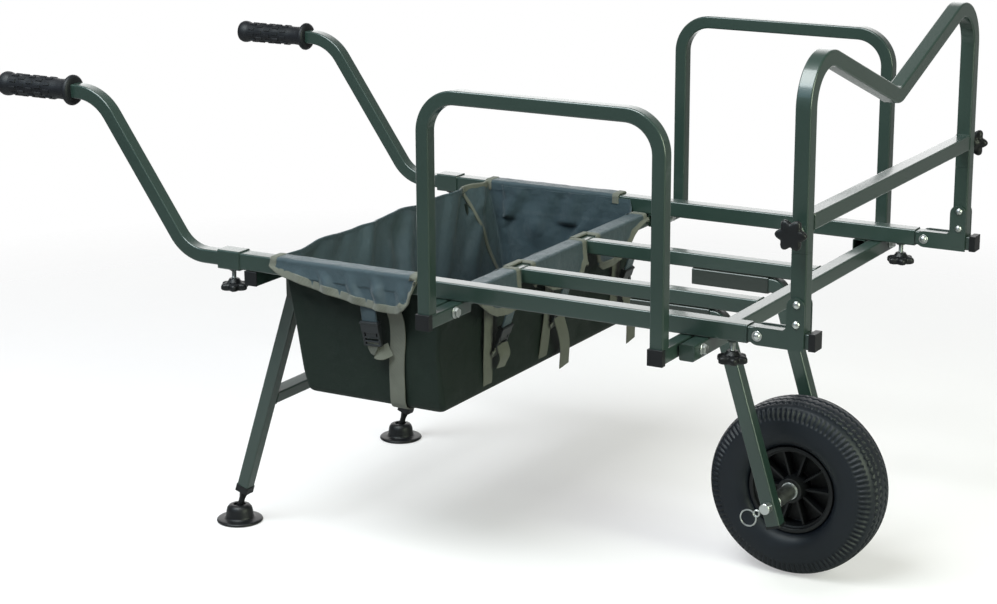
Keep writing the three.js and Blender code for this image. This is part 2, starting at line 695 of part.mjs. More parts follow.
// Uprights: a tube that stands on the arm, with a thinner top inside the front loop's leg
function addUprights() {
  const foot = railMid + slideTube / 2 + weldGap;
  const spigotSize = uprightSize - 2 * (frontLoopWall + slideClear);
  for (const [sideName, sign] of mirrorSides) {
    const y = sign * railY;
    const spot = (z) => at(uprightSetout, y, z);
    const top = uprightTop + spigotShown;
    const stem = straightTube(spot(foot), spot(uprightTop), yAxis, uprightSize, 0);
    const spigot = straightTube(spot(foot), spot(top), yAxis, spigotSize, 0);
    const boreSize = spigotSize - 2 * frontLoopWall;
    const bore = straightTube(spot(foot - cutOverrun), spot(top + cutOverrun), yAxis, boreSize, 0);
    const holes = bracketBoltRises.map((rise) => {
      const half = uprightSize / 2 + cutOverrun;
      const height = railTop + rise;
      const ends = [at(uprightSetout, y - half, height), at(uprightSetout, y + half, height)];
      return rodBetween(...ends, boltRadius + pinClear, 12);
    });
    addPiece(`${sideName}_upright`, cut(join(stem, spigot), bore, ...holes), steel);
    addPiece(`${sideName}_fold_bracket`, bracketOn(y), steelDark);
  }
}

// Front loop: legs over the uprights, bent into a V across the top, with a straight crossbar
function addFrontLoop() {
  const legFoot = uprightTop + weldGap;
  const spot = (y, z) => at(uprightSetout, y, z);
  const crest = vPeakHeight - uprightSize / 2;
  const halfTurn = radians(90 + vLean) / 2;
  const peakCorner = crest + vPeakBend * (Math.tan(halfTurn) - 1);
  const bottomCorner = peakCorner - railY * Math.tan(radians(vLean));
  const corners = [
    { point: spot(-railY, legFoot) },
    { point: spot(-railY, peakCorner), bend: vPeakBend },
    { point: spot(0, bottomCorner), bend: vBottomBend },
    { point: spot(railY, peakCorner), bend: vPeakBend },
    { point: spot(railY, legFoot) },
  ];
  const bow = sweptTube(bentPath(corners), xAxis, uprightSize, frontLoopWall);
  const reach = railY - uprightSize / 2 + frontLoopWall / 2;
  const barEnds = [spot(-reach, crossbarHeight), spot(reach, crossbarHeight)];
  const bar = straightTube(...barEnds, xAxis, uprightSize, frontLoopWall);
  const bosses = [];
  const holes = [];
  for (const [sideName, sign] of mirrorSides) {
    const outward = at(0, sign, 0);
    const face = spot(sign * (railY + uprightSize / 2), starKnobHeight);
    bosses.push(bossOn(face, outward));
    holes.push(screwHole(face, outward, frontLoopWall + slideClear + cutOverrun / 2));
    const mouth = face.clone().addScaledVector(outward, bossHeight);
    addKnob(`${sideName}_loop_knob`, mouth, at(0, -sign, 0), bossHeight - pinClear);
  }
  const legBores = mirrorSides.map(([, sign]) => {
    const start = spot(sign * railY, legFoot - cutOverrun);
    const end = spot(sign * railY, crossbarHeight + uprightSize);
    return straightTube(start, end, yAxis, uprightSize - 2 * frontLoopWall, 0);
  });
  const vent = rodBetween(spot(-railY, crossbarHeight), spot(railY, crossbarHeight), ventRadius, holeSides);
  addPiece('front_loop', cut(join(bow, bar, ...bosses), ...legBores, ...holes, vent), steel);
}

// Fork: on each side a holder under the inner bar, and a leg whose arm slides in it
function addFork() {
  const holderTop = ladderBottom - weldGap;
  const holderMid = holderTop - railSize / 2;
  const lean = Math.tan(radians(forkLean));
  const topX = -axleSetback - (holderMid - axleHeight) * lean;
  const tailDrop = forkTail * Math.cos(radians(forkLean));
  const legEnd = (y) => at(-axleSetback + tailDrop * lean, y, axleHeight - tailDrop);
  for (const [sideName, sign] of mirrorSides) {
    const y = sign * innerBarY;
    const holderFront = at(-holderSetback, y, holderMid);
    const holderRear = at(-holderSetback - holderLength, y, holderMid);
    const holder = straightTube(holderRear, holderFront, yAxis, railSize, railWall);
    addPiece(`${sideName}_fork_holder`, holder, steelDark);
    const armRear = at(-holderSetback - holderLength + slideTube, y, holderMid);
    const corners = [
      { point: armRear },
      { point: at(topX, y, holderMid), bend: forkBend },
      { point: legEnd(y) },
    ];
    const bentLeg = sweptTube(bentPath(corners), yAxis, slideTube, slideWall);
    const hole = rodBetween(
      at(-axleSetback, y - slideTube, axleHeight),
      at(-axleSetback, y + slideTube, axleHeight),
      axleRadius + pinClear,
      20,
    );
    addPiece(`${sideName}_fork_leg`, cut(bentLeg, hole), steel);
    const outward = at(Math.sin(radians(forkLean)), 0, -Math.cos(radians(forkLean)));
    addCap(`${sideName}_fork_cap`, legEnd(y), outward, yAxis, slideTube, slideWall);
  }
}

// Axle with a head at the far end and a hole for the clip at the near end, and a spacer on each side
function addAxle() {
  const legFace = innerBarY + slideTube / 2;
  const nearEnd = -(legFace + axleEndSetout);
  const farEnd = legFace + weldGap;
  const spot = (y) => at(-axleSetback, y, axleHeight);
  const rod = rodBetween(spot(nearEnd), spot(farEnd + axleHeadThickness), axleRadius, 20);
  const head = rodBetween(spot(farEnd), spot(farEnd + axleHeadThickness), axleHeadRadius, 20);
  const pin = clipPin(clipWire + pinClear, axleRadius + cutOverrun);
  addPiece('axle', cut(join(rod, head), pin), zinc);
  const spacerOuter = axleRadius + slideClear + spacerWall;
  for (const [sideName, sign] of mirrorSides) {
    const hubFace = hubWidth / 2 + weldGap;
    const length = innerBarY - slideTube / 2 - weldGap - hubFace;
    const ring = [
      [0, axleRadius + slideClear],
      [0, spacerOuter],
      [length, spacerOuter],
      [length, axleRadius + slideClear],
      [0, axleRadius + slideClear],
    ];
    addPiece(`${sideName}_spacer`, turnedBody(ring, at(0, sign, 0), spot(sign * hubFace), 20), zinc);
  }
}

// The clip's pin direction, through the axle's near end
const clipDirection = at(Math.cos(radians(clipTilt)), 0, Math.sin(radians(clipTilt)));
const clipPlaneY = -(innerBarY + slideTube / 2 + axleClipSetout);

function clipPin(radius, reach) {
  const middle = at(-axleSetback, clipPlaneY, axleHeight);
  return rodBetween(
    middle.clone().addScaledVector(clipDirection, -reach),
    middle.clone().addScaledVector(clipDirection, reach),
    radius,
    6,
  );
}

// Spring clip: a straight pin through the axle, a coil beside it, and a pull ring
function addClip() {
  const middle = at(-axleSetback, clipPlaneY, axleHeight);
  const pinFront = middle.clone().addScaledVector(clipDirection, axleRadius + clipPinShown);
  const coilGap = axleRadius + clipCoilRadius + clipPinShown;
  const coilMid = middle.clone().addScaledVector(clipDirection, -coilGap);
  const pin = rodBetween(coilMid, pinFront, clipWire, 6);
  const ringMid = coilMid.clone().addScaledVector(clipDirection, -(clipRingRadius + clipCoilRadius));
  const ringAt = (centre, radius) => {
    const ring = new THREE.TorusGeometry(radius, clipWire, 4, 12);
    ring.rotateX(Math.PI / 2);
    return ring.translate(centre.x, centre.y, centre.z);
  };
  const bridge = rodBetween(pinAt(coilMid, clipCoilRadius), pinAt(coilMid, -clipCoilRadius), clipWire, 6);
  const rings = [ringAt(coilMid, clipCoilRadius), ringAt(ringMid, clipRingRadius)];
  addPiece('axle_clip', join(pin, bridge, ...rings), zinc);
}

function pinAt(centre, shift) {
  return centre.clone().addScaledVector(clipDirection, shift);
}

// Wheel: a tyre open towards the rim, and a moulded rim with radial webs
function addWheel() {
  const centre = at(-axleSetback, 0, axleHeight);
  const beadHalf = rimWidth / 2 - rimLip;
  const outside = tyreOutline(beadHalf, 0);
  const inside = tyreOutline(beadHalf - tyreWall, tyreWall).reverse();
  addPiece('tyre', turnedBody([...outside, ...inside, outside[0]], yAxis, centre, wheelSides), tyreRubber);
  const lipInner = rimRadius - rimWall;
  const rim = [
    [-hubWidth / 2, axleRadius + pinClear],
    [-hubWidth / 2, hubRadius],
    [-rimDisc / 2, hubRadius],
    [-rimDisc / 2, lipInner],
    [-beadHalf - rimLip, lipInner],
    [-beadHalf - rimLip, rimRadius + rimLip - weldGap],
    [-beadHalf - weldGap, rimRadius + rimLip - weldGap],
    [-beadHalf - weldGap, rimRadius],
    [beadHalf + weldGap, rimRadius],
    [beadHalf + weldGap, rimRadius + rimLip - weldGap],
    [beadHalf + rimLip, rimRadius + rimLip - weldGap],
    [beadHalf + rimLip, lipInner],
    [rimDisc / 2, lipInner],
    [rimDisc / 2, hubRadius],
    [hubWidth / 2, hubRadius],
    [hubWidth / 2, axleRadius + pinClear],
    [-hubWidth / 2, axleRadius + pinClear],
  ];
  const webs = [];
  for (let web = 0; web < rimWebs; web += 1) {
    const angle = (2 * Math.PI * web) / rimWebs;
    const low = at(hubRadius - rimWall / 2, -beadHalf, -rimWebThickness / 2);
    const high = at(lipInner + rimWall / 2, beadHalf, rimWebThickness / 2);
    webs.push(boxBetween(low, high).rotateY(angle).translate(centre.x, centre.y, centre.z));
  }
  addPiece('rim', join(turnedBody(rim, yAxis, centre, wheelSides), ...webs), blackPlastic);
}

// Section of the tyre from the near bead over the tread to the far bead, inset by its wall for the inside
function tyreOutline(beadHalf, inset) {
  const sideShare = [0.8, 0.96, 1, 0.98, 0.9, 0.76];
  const heightShare = [0.06, 0.2, 0.42, 0.66, 0.84, 0.94];
  const half = tyreWidth / 2 - inset;
  const bead = rimRadius + weldGap;
  const lipTop = rimRadius + rimLip + weldGap;
  const crown = tyreRadius - inset;
  const nearSide = [[-beadHalf, bead], [-beadHalf, lipTop]];
  sideShare.forEach((share, index) => {
    if (inset && index % 2 === 0) return;
    nearSide.push([-half * share, lipTop + heightShare[index] * (crown - lipTop)]);
  });
  const farSide = nearSide.map(([along, radius]) => [-along, radius]).reverse();
  if (inset) return [...nearSide, ...farSide];
  const tread = [];
  for (const groove of [-1, 1]) {
    const along = groove * treadGrooveSetout;
    tread.push([along - treadGroove, crown]);
    tread.push([along - treadGroove / 2, crown - treadGroove]);
    tread.push([along + treadGroove / 2, crown - treadGroove]);
    tread.push([along + treadGroove, crown]);
  }
  return [...nearSide, ...tread, ...farSide];
}

// Rear legs: two leaning tubes with a stop at the top, a bar between them, and ball-jointed feet
const legDrift = Math.tan(radians(legLean));
const legX = (height) => legPivotX - (legPivotHeight - height) * legDrift;

function addLegs() {
  const barHalf = legSpacing / 2 - legSize / 2 - weldGap;
  const legAxis = at(legDrift, 0, 1).normalize();
  for (const [sideName, sign] of mirrorSides) {
    const y = (sign * legSpacing) / 2;
    const foot = at(legX(legBottomHeight), y, legBottomHeight);
    const top = at(legX(legTopHeight + legSize), y, legTopHeight + legSize);
    const tube = straightTube(foot, top, yAxis, legSize, legWall);
    const crown = boxBetween(
      at(top.x - legSize * 2, y - legSize, legTopHeight),
      at(top.x + legSize * 2, y + legSize, legTopHeight + legSize * 2),
    );
    const pin = legPivotRod(sign, boltRadius + pinClear, cutOverrun);
    const ferruleEnd = foot.clone().addScaledVector(legAxis, -legFerrule / 2);
    const ferruleTop = foot.clone().addScaledVector(legAxis, legFerrule / 2);
    const ferrule = straightTube(ferruleEnd, ferruleTop, yAxis, legSize - 2 * legWall + weldGap, 0);
    const ball = new THREE.SphereGeometry(footBallRadius, 10, 6);
    const ballMid = ballCentre(y);
    const stem = rodBetween(ballMid, ferruleTop, footBallRadius * footStemShare, 10);
    const lower = join(tube, legStop(y), ferrule, stem, ball.translate(ballMid.x, ballMid.y, ballMid.z));
    addPiece(`${sideName}_leg`, cut(lower, crown, pin), steel);
    addPiece(`${sideName}_foot`, footUnder(ballMid), blackPlastic);
    addLegBolt(`${sideName}_leg_pivot`, sign, y);
  }
  const barMid = at(legX(legBarHeight), 0, legBarHeight);
  const bar = straightTube(at(0, -barHalf, 0), at(0, barHalf, 0), xAxis, legSize, legWall);
  bar.rotateY(radians(legLean)).translate(barMid.x, barMid.y, barMid.z);
  addPiece('leg_bar', bar, steel);
}

// The stop fills the corner between the leg's rear face and the rear member's front face
function legStop(y) {
  const back = rearMemberFace + weldGap;
  const foot = legPivotHeight - legStopDrop;
  const outline = new THREE.Shape();
  const reach = (legSize / 2) / Math.cos(radians(legLean));
  outline.moveTo(back, legPivotHeight);
  outline.lineTo(back, foot);
  outline.lineTo(legX(foot) - reach + legWall, foot);
  outline.lineTo(legX(legPivotHeight) - reach + legWall, legPivotHeight);
  outline.closePath();
  const plate = new THREE.ExtrudeGeometry(outline, { depth: legSize, bevelEnabled: false });
  return plate.rotateX(Math.PI / 2).translate(0, y + legSize / 2, 0);
}

function addLegBolt(name, sign, y) {
  const half = legSize / 2 + slideClear + legLug + weldGap;
  const heads = [-1, 1].map((face) => rodBetween(
    at(legPivotX, y + face * half, legPivotHeight),
    at(legPivotX, y + face * (half + boltHeadHeight), legPivotHeight),
    boltHeadRadius,
    6,
  ));
  addPiece(name, join(legPivotRod(sign, boltRadius, weldGap + boltHeadHeight / 2), ...heads), zinc);
}

function ballCentre(y) {
  return at(legX(footBallHeight), y, footBallHeight);
}

// Foot: a round pad with a hollow dome that snaps over the leg's ball
function footUnder(ballMid) {
  const socketRadius = footBallRadius + slideClear;
  const mouth = footBallRadius * footMouthShare;
  const pads = footPadShares.map(([along, radius]) => [along * footBase, radius * footRadius]);
  const domes = footDomeShares.map(([along, radius]) => [along * footDomeHeight, radius * footDomeRadius]);
  const profile = [[0, 0], ...pads, ...domes, [footDomeHeight, 0]];
  const pad = turnedBody(profile, zAxis, at(ballMid.x, ballMid.y, 0), footSides);
  const socket = new THREE.SphereGeometry(socketRadius, 10, 6).translate(ballMid.x, ballMid.y, ballMid.z);
  const well = turnedBody(
    [[0, 0], [0, mouth], [footDomeHeight, footDomeRadius * footWellShare], [footDomeHeight, 0]],
    zAxis,
    ballMid,
    16,
  );
  return cut(pad, socket, well);
}

// Bag: an open box of cloth that hangs inside the rails, with flaps over the rails and the middle member
function addBag() {
  const wallY = railY - railSize / 2 - clothGap;
  const top = railTop - bagTopSlack;
  const frontX = middleMemberX - ladderSize / 2 - clothGap;
  const outer = bagBody(0, wallY, top, frontX);
  const inner = bagBody(bagWall, wallY, top + cutOverrun, frontX);
  const flaps = [];
  const flapTop = railTop + clothGap;
  for (const [, sign] of mirrorSides) {
    const inFace = railY - railSize / 2 - clothGap;
    const outFace = railY + railSize / 2 + clothGap;
    const stretch = [rearMemberFace + flapRearGap, middleMemberX - ladderSize / 2 - flapFrontGap, sign];
    flaps.push(clothBox(...stretch, inFace - bagWall, outFace + bagWall, flapTop, flapTop + bagWall));
    flaps.push(clothBox(...stretch, outFace, outFace + bagWall, railTop - flapDrop, flapTop + bagWall));
    flaps.push(clothBox(...stretch, inFace - bagWall, inFace, top - bagWall * 2, flapTop + bagWall));
  }
  const memberFront = middleMemberX + ladderSize / 2 + clothGap;
  const memberTop = ladderTop + clothGap;
  const edges = [-wallY, -innerBarY - ladderSize / 2, innerBarY + ladderSize / 2, wallY];
  const middleHalf = innerBarY - ladderSize / 2;
  const spans = [[edges[0], edges[1]], [-middleHalf, middleHalf], [edges[2], edges[3]]];
  for (const [start, end] of spans) {
    const low = start + frontFlapGap;
    const high = end - frontFlapGap;
    const back = frontX - bagWall;
    flaps.push(boxBetween(at(back, low, memberTop), at(memberFront + bagWall, high, memberTop + bagWall)));
    const hem = ladderBottom - frontFlapDrop;
    flaps.push(boxBetween(at(memberFront, low, hem), at(memberFront + bagWall, high, memberTop + bagWall)));
  }
  addPiece('bag', join(cut(outer, inner), ...flaps), cloth);
}

// Cloth between two distances from the middle plane, on one side of it
function clothBox(xLow, xHigh, sign, yIn, yOut, zLow, zHigh) {
  const ys = [sign * yIn, sign * yOut].sort((a, b) => a - b);
  return boxBetween(at(xLow, ys[0], zLow), at(xHigh, ys[1], zHigh));
}

// The bag's outside, or its inside when inset is the cloth's thickness
function bagBody(inset, wallY, top, frontX) {
  const frontTop = inset ? top : ladderTop + clothGap + bagWall;
  const low = railTop - bagDepth + inset;
  const rearTop = rearMemberFace + bagRearGap + inset;
  const rearBottom = rearTop + bagRearSlope;
  const frontBottom = frontX - bagFrontSlope - inset;
  const front = frontX - inset;
  const outline = new THREE.Shape();
  outline.moveTo(rearTop, top);
  outline.lineTo(rearBottom, low + bagBottomRound);
  outline.lineTo(rearBottom + bagBottomRound, low);
  outline.lineTo(frontBottom - bagBottomRound, low);
  outline.lineTo(frontBottom, low + bagBottomRound);
  outline.lineTo(front, frontTop);
  if (inset) outline.lineTo(rearTop, top);
  else outline.lineTo(front - bagWall, frontTop);
  if (!inset) outline.lineTo(front - bagWall * 2, top);
  outline.closePath();
  const depth = 2 * (wallY - inset);
  const body = new THREE.ExtrudeGeometry(outline, { depth, bevelEnabled: false });
  return body.rotateX(Math.PI / 2).translate(0, depth / 2, 0);
}

addRails();
addLadder();
addRearMember();
addSideLoops();
addHandles();
addFrontArms();
addUprights();
addFrontLoop();
addFork();
addAxle();
addClip();
addWheel();
addLegs();
addBag();

// The origin goes to the ground, in the middle of the part's length
const bounds = new THREE.Box3().setFromObject(part);
part.position.set(-(bounds.min.x + bounds.max.x) / 2, 0, 0);
part.updateMatrixWorld(true);

export default part;
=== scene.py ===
# %% [markdown]
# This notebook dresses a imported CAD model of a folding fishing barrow.
# The CAD says where every tube, bolt and wheel is, and which pieces move together.
# Blender adds what a camera sees: rounded tube corners, tread, webbing, cloth and paint.

# %% Load the frame
import math
import random

import bpy
import numpy as np
from mathutils import Matrix, Vector


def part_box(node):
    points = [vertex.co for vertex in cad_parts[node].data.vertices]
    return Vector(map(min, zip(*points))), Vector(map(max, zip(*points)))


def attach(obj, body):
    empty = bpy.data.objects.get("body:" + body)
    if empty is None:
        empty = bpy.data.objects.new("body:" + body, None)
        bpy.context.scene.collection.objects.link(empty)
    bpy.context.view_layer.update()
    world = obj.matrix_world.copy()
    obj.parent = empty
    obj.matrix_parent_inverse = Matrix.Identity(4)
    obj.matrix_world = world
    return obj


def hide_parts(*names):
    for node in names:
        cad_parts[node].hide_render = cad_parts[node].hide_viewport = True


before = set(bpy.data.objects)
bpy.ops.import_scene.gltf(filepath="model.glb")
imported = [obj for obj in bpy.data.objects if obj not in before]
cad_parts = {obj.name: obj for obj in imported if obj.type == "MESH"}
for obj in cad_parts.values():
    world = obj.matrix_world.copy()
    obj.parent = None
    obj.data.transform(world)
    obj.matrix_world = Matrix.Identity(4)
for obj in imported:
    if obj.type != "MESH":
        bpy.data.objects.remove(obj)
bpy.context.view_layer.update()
scene = bpy.context.scene

# %% [markdown]
# All places are in metres. Along the barrow they are counted from the front ends of the rails,
# as a maker would measure them, so one helper turns such a place into a point of the frame.

# %% Places
FRONT_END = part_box("near_rail")[1].x
X_AXIS = Vector((1, 0, 0))
Y_AXIS = Vector((0, 1, 0))
Z_AXIS = Vector((0, 0, 1))
SIDES = (("near", -1), ("far", 1))


def spot(x, y, z):
    """A point, with x counted from the rails' front ends."""
    return Vector((FRONT_END + x, y, z))


print("rails end at", round(FRONT_END, 4))

# %% [markdown]
# Shader maths reads best as arithmetic. A small class wraps a socket, and + and * on it add Math nodes.
# Any other node comes from one method, which takes its settings and what goes into its sockets.

# %% Shader helpers
NOISE_ROUGHNESS = 0.55


class Signal:
    """One output socket of a node tree, with arithmetic."""

    def __init__(self, look, socket):
        self.look = look
        self.socket = socket

    def math(self, operation, first, second):
        return self.look.node("ShaderNodeMath", {"operation": operation}, [first, second])

    def __add__(self, other):
        return self.math("ADD", self, other)

    __radd__ = __add__

    def __mul__(self, other):
        return self.math("MULTIPLY", self, other)

    __rmul__ = __mul__


class Look:
    """A material under construction, with its Principled shader."""

    def __init__(self, name, **constants):
        self.material = bpy.data.materials.new(name)
        self.material.use_nodes = True
        self.tree = self.material.node_tree
        self.shader = self.tree.nodes["Principled BSDF"]
        for socket, value in constants.items():
            self.shader.inputs[socket.replace("_", " ")].default_value = value

    def node(self, kind, settings, inputs, output=0):
        """Adds a node. settings are set first, then inputs: a list, or a dict by socket."""
        made = self.tree.nodes.new(kind)
        for key, value in settings.items():
            setattr(made, key, value)
        pairs = inputs.items() if isinstance(inputs, dict) else enumerate(inputs)
        for key, value in pairs:
            self.feed(made.inputs[key], value)
        return Signal(self, made.outputs[output])

    def feed(self, socket, value):
        if isinstance(value, Signal):
            self.tree.links.new(value.socket, socket)
        else:
            socket.default_value = value

    def into(self, socket, value):
        self.feed(self.shader.inputs[socket], value)

    def coordinates(self, source="Object"):
        made = self.tree.nodes.new("ShaderNodeTexCoord")
        return Signal(self, made.outputs[source])

    def noise(self, scale, detail=3.0):
        values = {"Vector": self.coordinates(), "Scale": scale, "Detail": detail}
        values["Roughness"] = NOISE_ROUGHNESS
        return self.node("ShaderNodeTexNoise", {}, values)

    def tint(self, factor, first, second):
        """Mixes two colours by a factor. A Mix node has its colours in sockets 6 and 7."""
        return self.node("ShaderNodeMix", {"data_type": "RGBA"}, {0: factor, 6: first, 7: second}, output=2)

    def bump(self, height, strength, distance):
        values = {"Height": height, "Strength": strength, "Distance": distance}
        self.into("Normal", self.node("ShaderNodeBump", {}, values))


def rgb(red, green, blue):
    """A colour as it is written in sRGB, made linear for the shader."""
    linear = [((c + 0.055) / 1.055) ** 2.4 if c > 0.04 else c / 12.92 for c in (red, green, blue)]
    return (*linear, 1.0)


print("shader helpers ready")

# %% [markdown]
# The tubes are powder coated: paint dust baked to a satin skin with a fine orange peel.
# Two noises do it: a fine one for the peel's bump, and a broad one that shifts colour and gloss a little.

# %% Paint
COAT_PEEL = 900.0     # bumps per metre
COAT_CLOUD = 7.0
PEEL_DEPTH = 0.0002


def powder_coat(name, dark, light, roughness):
    look = Look(name, Metallic=0.0, Specular_IOR_Level=0.6, Coat_Roughness=0.12, Coat_IOR=1.5)
    cloud = look.noise(COAT_CLOUD, detail=4.0)
    peel = look.noise(COAT_PEEL, detail=2.0)
    look.into("Base Color", look.tint(cloud, dark, light))
    look.into("Roughness", roughness + 0.10 * cloud + 0.05 * peel)
    look.into("Coat Weight", 0.6 + 0.2 * cloud)
    look.bump(peel, 0.22, PEEL_DEPTH)
    return look.material


coat = powder_coat("slate_green_powder_coat", rgb(0.12, 0.195, 0.17), rgb(0.155, 0.23, 0.205), 0.3)
# A darker copy of the same coat: painted shade for the leg ears and fork holders, which sit under the bed.
shaded_coat = powder_coat("shaded_powder_coat", rgb(0.09, 0.125, 0.105), rgb(0.12, 0.155, 0.13), 0.36)

# %% [markdown]
# Bolts, axle and spacers are zinc plated. Zinc is a metal with a faint cloudy spangle and fine scratches,
# so roughness varies and the colour stays nearly grey.

# %% Zinc
ZINC_CLOUD = 160.0
ZINC_SCRATCH = 1400.0
SCRATCH_DEPTH = 0.00005


def zinc_plate():
    look = Look("bright_zinc", Metallic=1.0)
    cloud = look.noise(ZINC_CLOUD, detail=4.0)
    scratch = look.noise(ZINC_SCRATCH, detail=2.0)
    look.into("Base Color", look.tint(cloud, rgb(0.72, 0.73, 0.73), rgb(0.9, 0.91, 0.9)))
    look.into("Roughness", 0.24 + 0.22 * cloud)
    look.bump(scratch, 0.05, SCRATCH_DEPTH)
    return look.material


zinc = zinc_plate()

# %% [markdown]
# Caps, knobs, grips and rim are moulded plastic. A mould leaves a fine even grain,
# and handling polishes some of it, so roughness follows a broad noise.

# %% Plastics and rubber
PLASTIC_CLOUD = 30.0
GRAIN_DEPTH = 0.0002
GRIP_GRAIN_DEPTH = 0.0003
TYRE_DUST = 38.0
TYRE_GRAIN = 700.0
TYRE_GRAIN_DEPTH = 0.0003


def moulded(name, dark, light, roughness, grain, depth=GRAIN_DEPTH):
    """Moulded plastic. grain is in bumps per metre."""
    look = Look(name, Metallic=0.0, Specular_IOR_Level=0.4)
    cloud = look.noise(PLASTIC_CLOUD)
    fine = look.noise(grain, detail=2.0)
    look.into("Base Color", look.tint(cloud, dark, light))
    look.into("Roughness", roughness + 0.16 * cloud)
    look.bump(fine, 0.3, depth)
    return look.material


grip_dark, grip_light = rgb(0.05, 0.058, 0.075), rgb(0.08, 0.09, 0.11)
dark, pale = rgb(0.05, 0.055, 0.065), rgb(0.08, 0.085, 0.095)
black_plastic = moulded("black_moulded_plastic", dark, pale, 0.36, 1500.0)
grip_rubber = moulded("grip_plastic", grip_dark, grip_light, 0.44, 1100.0, GRIP_GRAIN_DEPTH)
rim_plastic = moulded("rim_plastic", rgb(0.045, 0.05, 0.06), rgb(0.075, 0.08, 0.09), 0.4, 900.0)
buckle_plastic = moulded("buckle_plastic", rgb(0.11, 0.12, 0.13), rgb(0.15, 0.16, 0.17), 0.3, 1200.0)


def tyre_look():
    """Black rubber with a slight blue cast, duller where dust settles."""
    look = Look("tyre_rubber", Metallic=0.0, Specular_IOR_Level=0.45)
    dust = look.noise(TYRE_DUST, detail=5.0)
    fine = look.noise(TYRE_GRAIN)
    look.into("Base Color", look.tint(dust, rgb(0.025, 0.055, 0.09), rgb(0.055, 0.085, 0.125)))
    look.into("Roughness", 0.38 + 0.22 * dust)
    look.bump(fine, 0.25, TYRE_GRAIN_DEPTH)
    return look.material


tyre_rubber = tyre_look()

# %% [markdown]
# The bag is plain-woven nylon. A weave follows the cloth and not the room, so its pattern reads the piece's
# own UV map, which is laid out in metres. Two sets of sine waves cross, one for each direction of thread.

# %% Cloth and webbing
THREAD_PITCH = 0.0011
WEB_RIB = 0.0021
CLOTH_CLOUD = 9.0
CLOTH_CRINKLE = 42.0
CLOTH_CREASE = 15.0
CLOTH_RELIEF = 0.0022
WEB_CLOUD = 60.0
WEB_RELIEF = 0.0004


def stripes(look, across, pitch):
    """Soft stripes from 0 to 1 along one UV direction."""
    return 0.5 + 0.5 * look.node("ShaderNodeMath", {"operation": "SINE"}, [across * (2 * math.pi / pitch)])


def threads(look):
    """The two directions of the piece's own UV map."""
    uv = look.coordinates("UV")
    split = look.tree.nodes.new("ShaderNodeSeparateXYZ")
    look.feed(split.inputs[0], uv)
    return Signal(look, split.outputs[0]), Signal(look, split.outputs[1])


def woven(name, dark, light, roughness, sheen, creased):
    look = Look(name, Metallic=0.0, Specular_IOR_Level=0.3, Sheen_Weight=sheen, Sheen_Roughness=0.45)
    along, across = threads(look)
    weave = stripes(look, along, THREAD_PITCH) * stripes(look, across, THREAD_PITCH)
    cloud = look.noise(CLOTH_CLOUD, detail=4.0)
    crinkle = look.noise(CLOTH_CRINKLE, detail=4.0)
    crease = look.noise(CLOTH_CREASE)
    look.into("Base Color", look.tint(0.35 * weave + 0.65 * cloud, dark, light))
    look.into("Roughness", roughness + 0.14 * cloud)
    look.bump(weave * 0.25 + crinkle * 1.2 + crease * creased, 0.6, CLOTH_RELIEF)
    return look.material


def webbing_look():
    look = Look("grey_webbing", Metallic=0.0, Specular_IOR_Level=0.3, Sheen_Weight=0.15)
    along, across = threads(look)
    ribs = stripes(look, along + 0.6 * across, WEB_RIB)
    cloud = look.noise(WEB_CLOUD, detail=4.0)
    dark, light = rgb(0.30, 0.305, 0.275), rgb(0.46, 0.465, 0.425)
    look.into("Base Color", look.tint(0.5 * ribs + 0.5 * cloud, dark, light))
    look.into("Roughness", 0.72 + 0.14 * cloud)
    look.bump(ribs, 0.5, WEB_RELIEF)
    return look.material


green_cloth = woven("green_nylon", rgb(0.05, 0.105, 0.08), rgb(0.08, 0.14, 0.105), 0.5, 0.02, 1.5)
# Slate nylon for the bag's inner face, flaps, wraps, rear hem and tabs. Its colour is partly its own slate and
# partly painted top light and sheen, which makes it lighter than the green.
slate_and_sheen_cloth = woven("slate_nylon_and_painted_sheen", rgb(0.185, 0.24, 0.265), rgb(0.28, 0.345, 0.375), 0.34, 0.15, 6.0)
webbing = webbing_look()
print("materials", len(bpy.data.materials))

# %% [markdown]
# Most pieces are a section carried along a path, a profile turned about an axis, or an outline given
# a thickness. One collector gathers such forms into one mesh, so that a tube and its welds become one piece.

# %% Form collector
class Form:
    """Vertices and faces of one piece."""

    def __init__(self):
        self.vertices = []
        self.faces = []
        self.paint = []
        self.uv = []

    def add(self, vertices, faces, uv=None, paint=0):
        """paint is the number of the material, and uv holds a place in metres for each vertex."""
        start = len(self.vertices)
        self.vertices += [tuple(v) for v in vertices]
        self.faces += [[start + index for index in face] for face in faces]
        self.paint += [paint] * len(faces)
        places = [(0.0, 0.0)] * (len(self.vertices) - start) if uv is None else uv
        self.uv += [tuple(place) for place in places]
        return self


def grid_faces(rows, columns, closed_rows=False, closed_columns=True):
    """Quads between neighbouring rings, each ring having the same number of points."""
    faces = []
    for row in range(rows if closed_rows else rows - 1):
        upper = (row + 1) % rows
        for column in range(columns if closed_columns else columns - 1):
            right = (column + 1) % columns
            near, far = row * columns, upper * columns
            faces.append([near + column, near + right, far + right, far + column])
    return faces


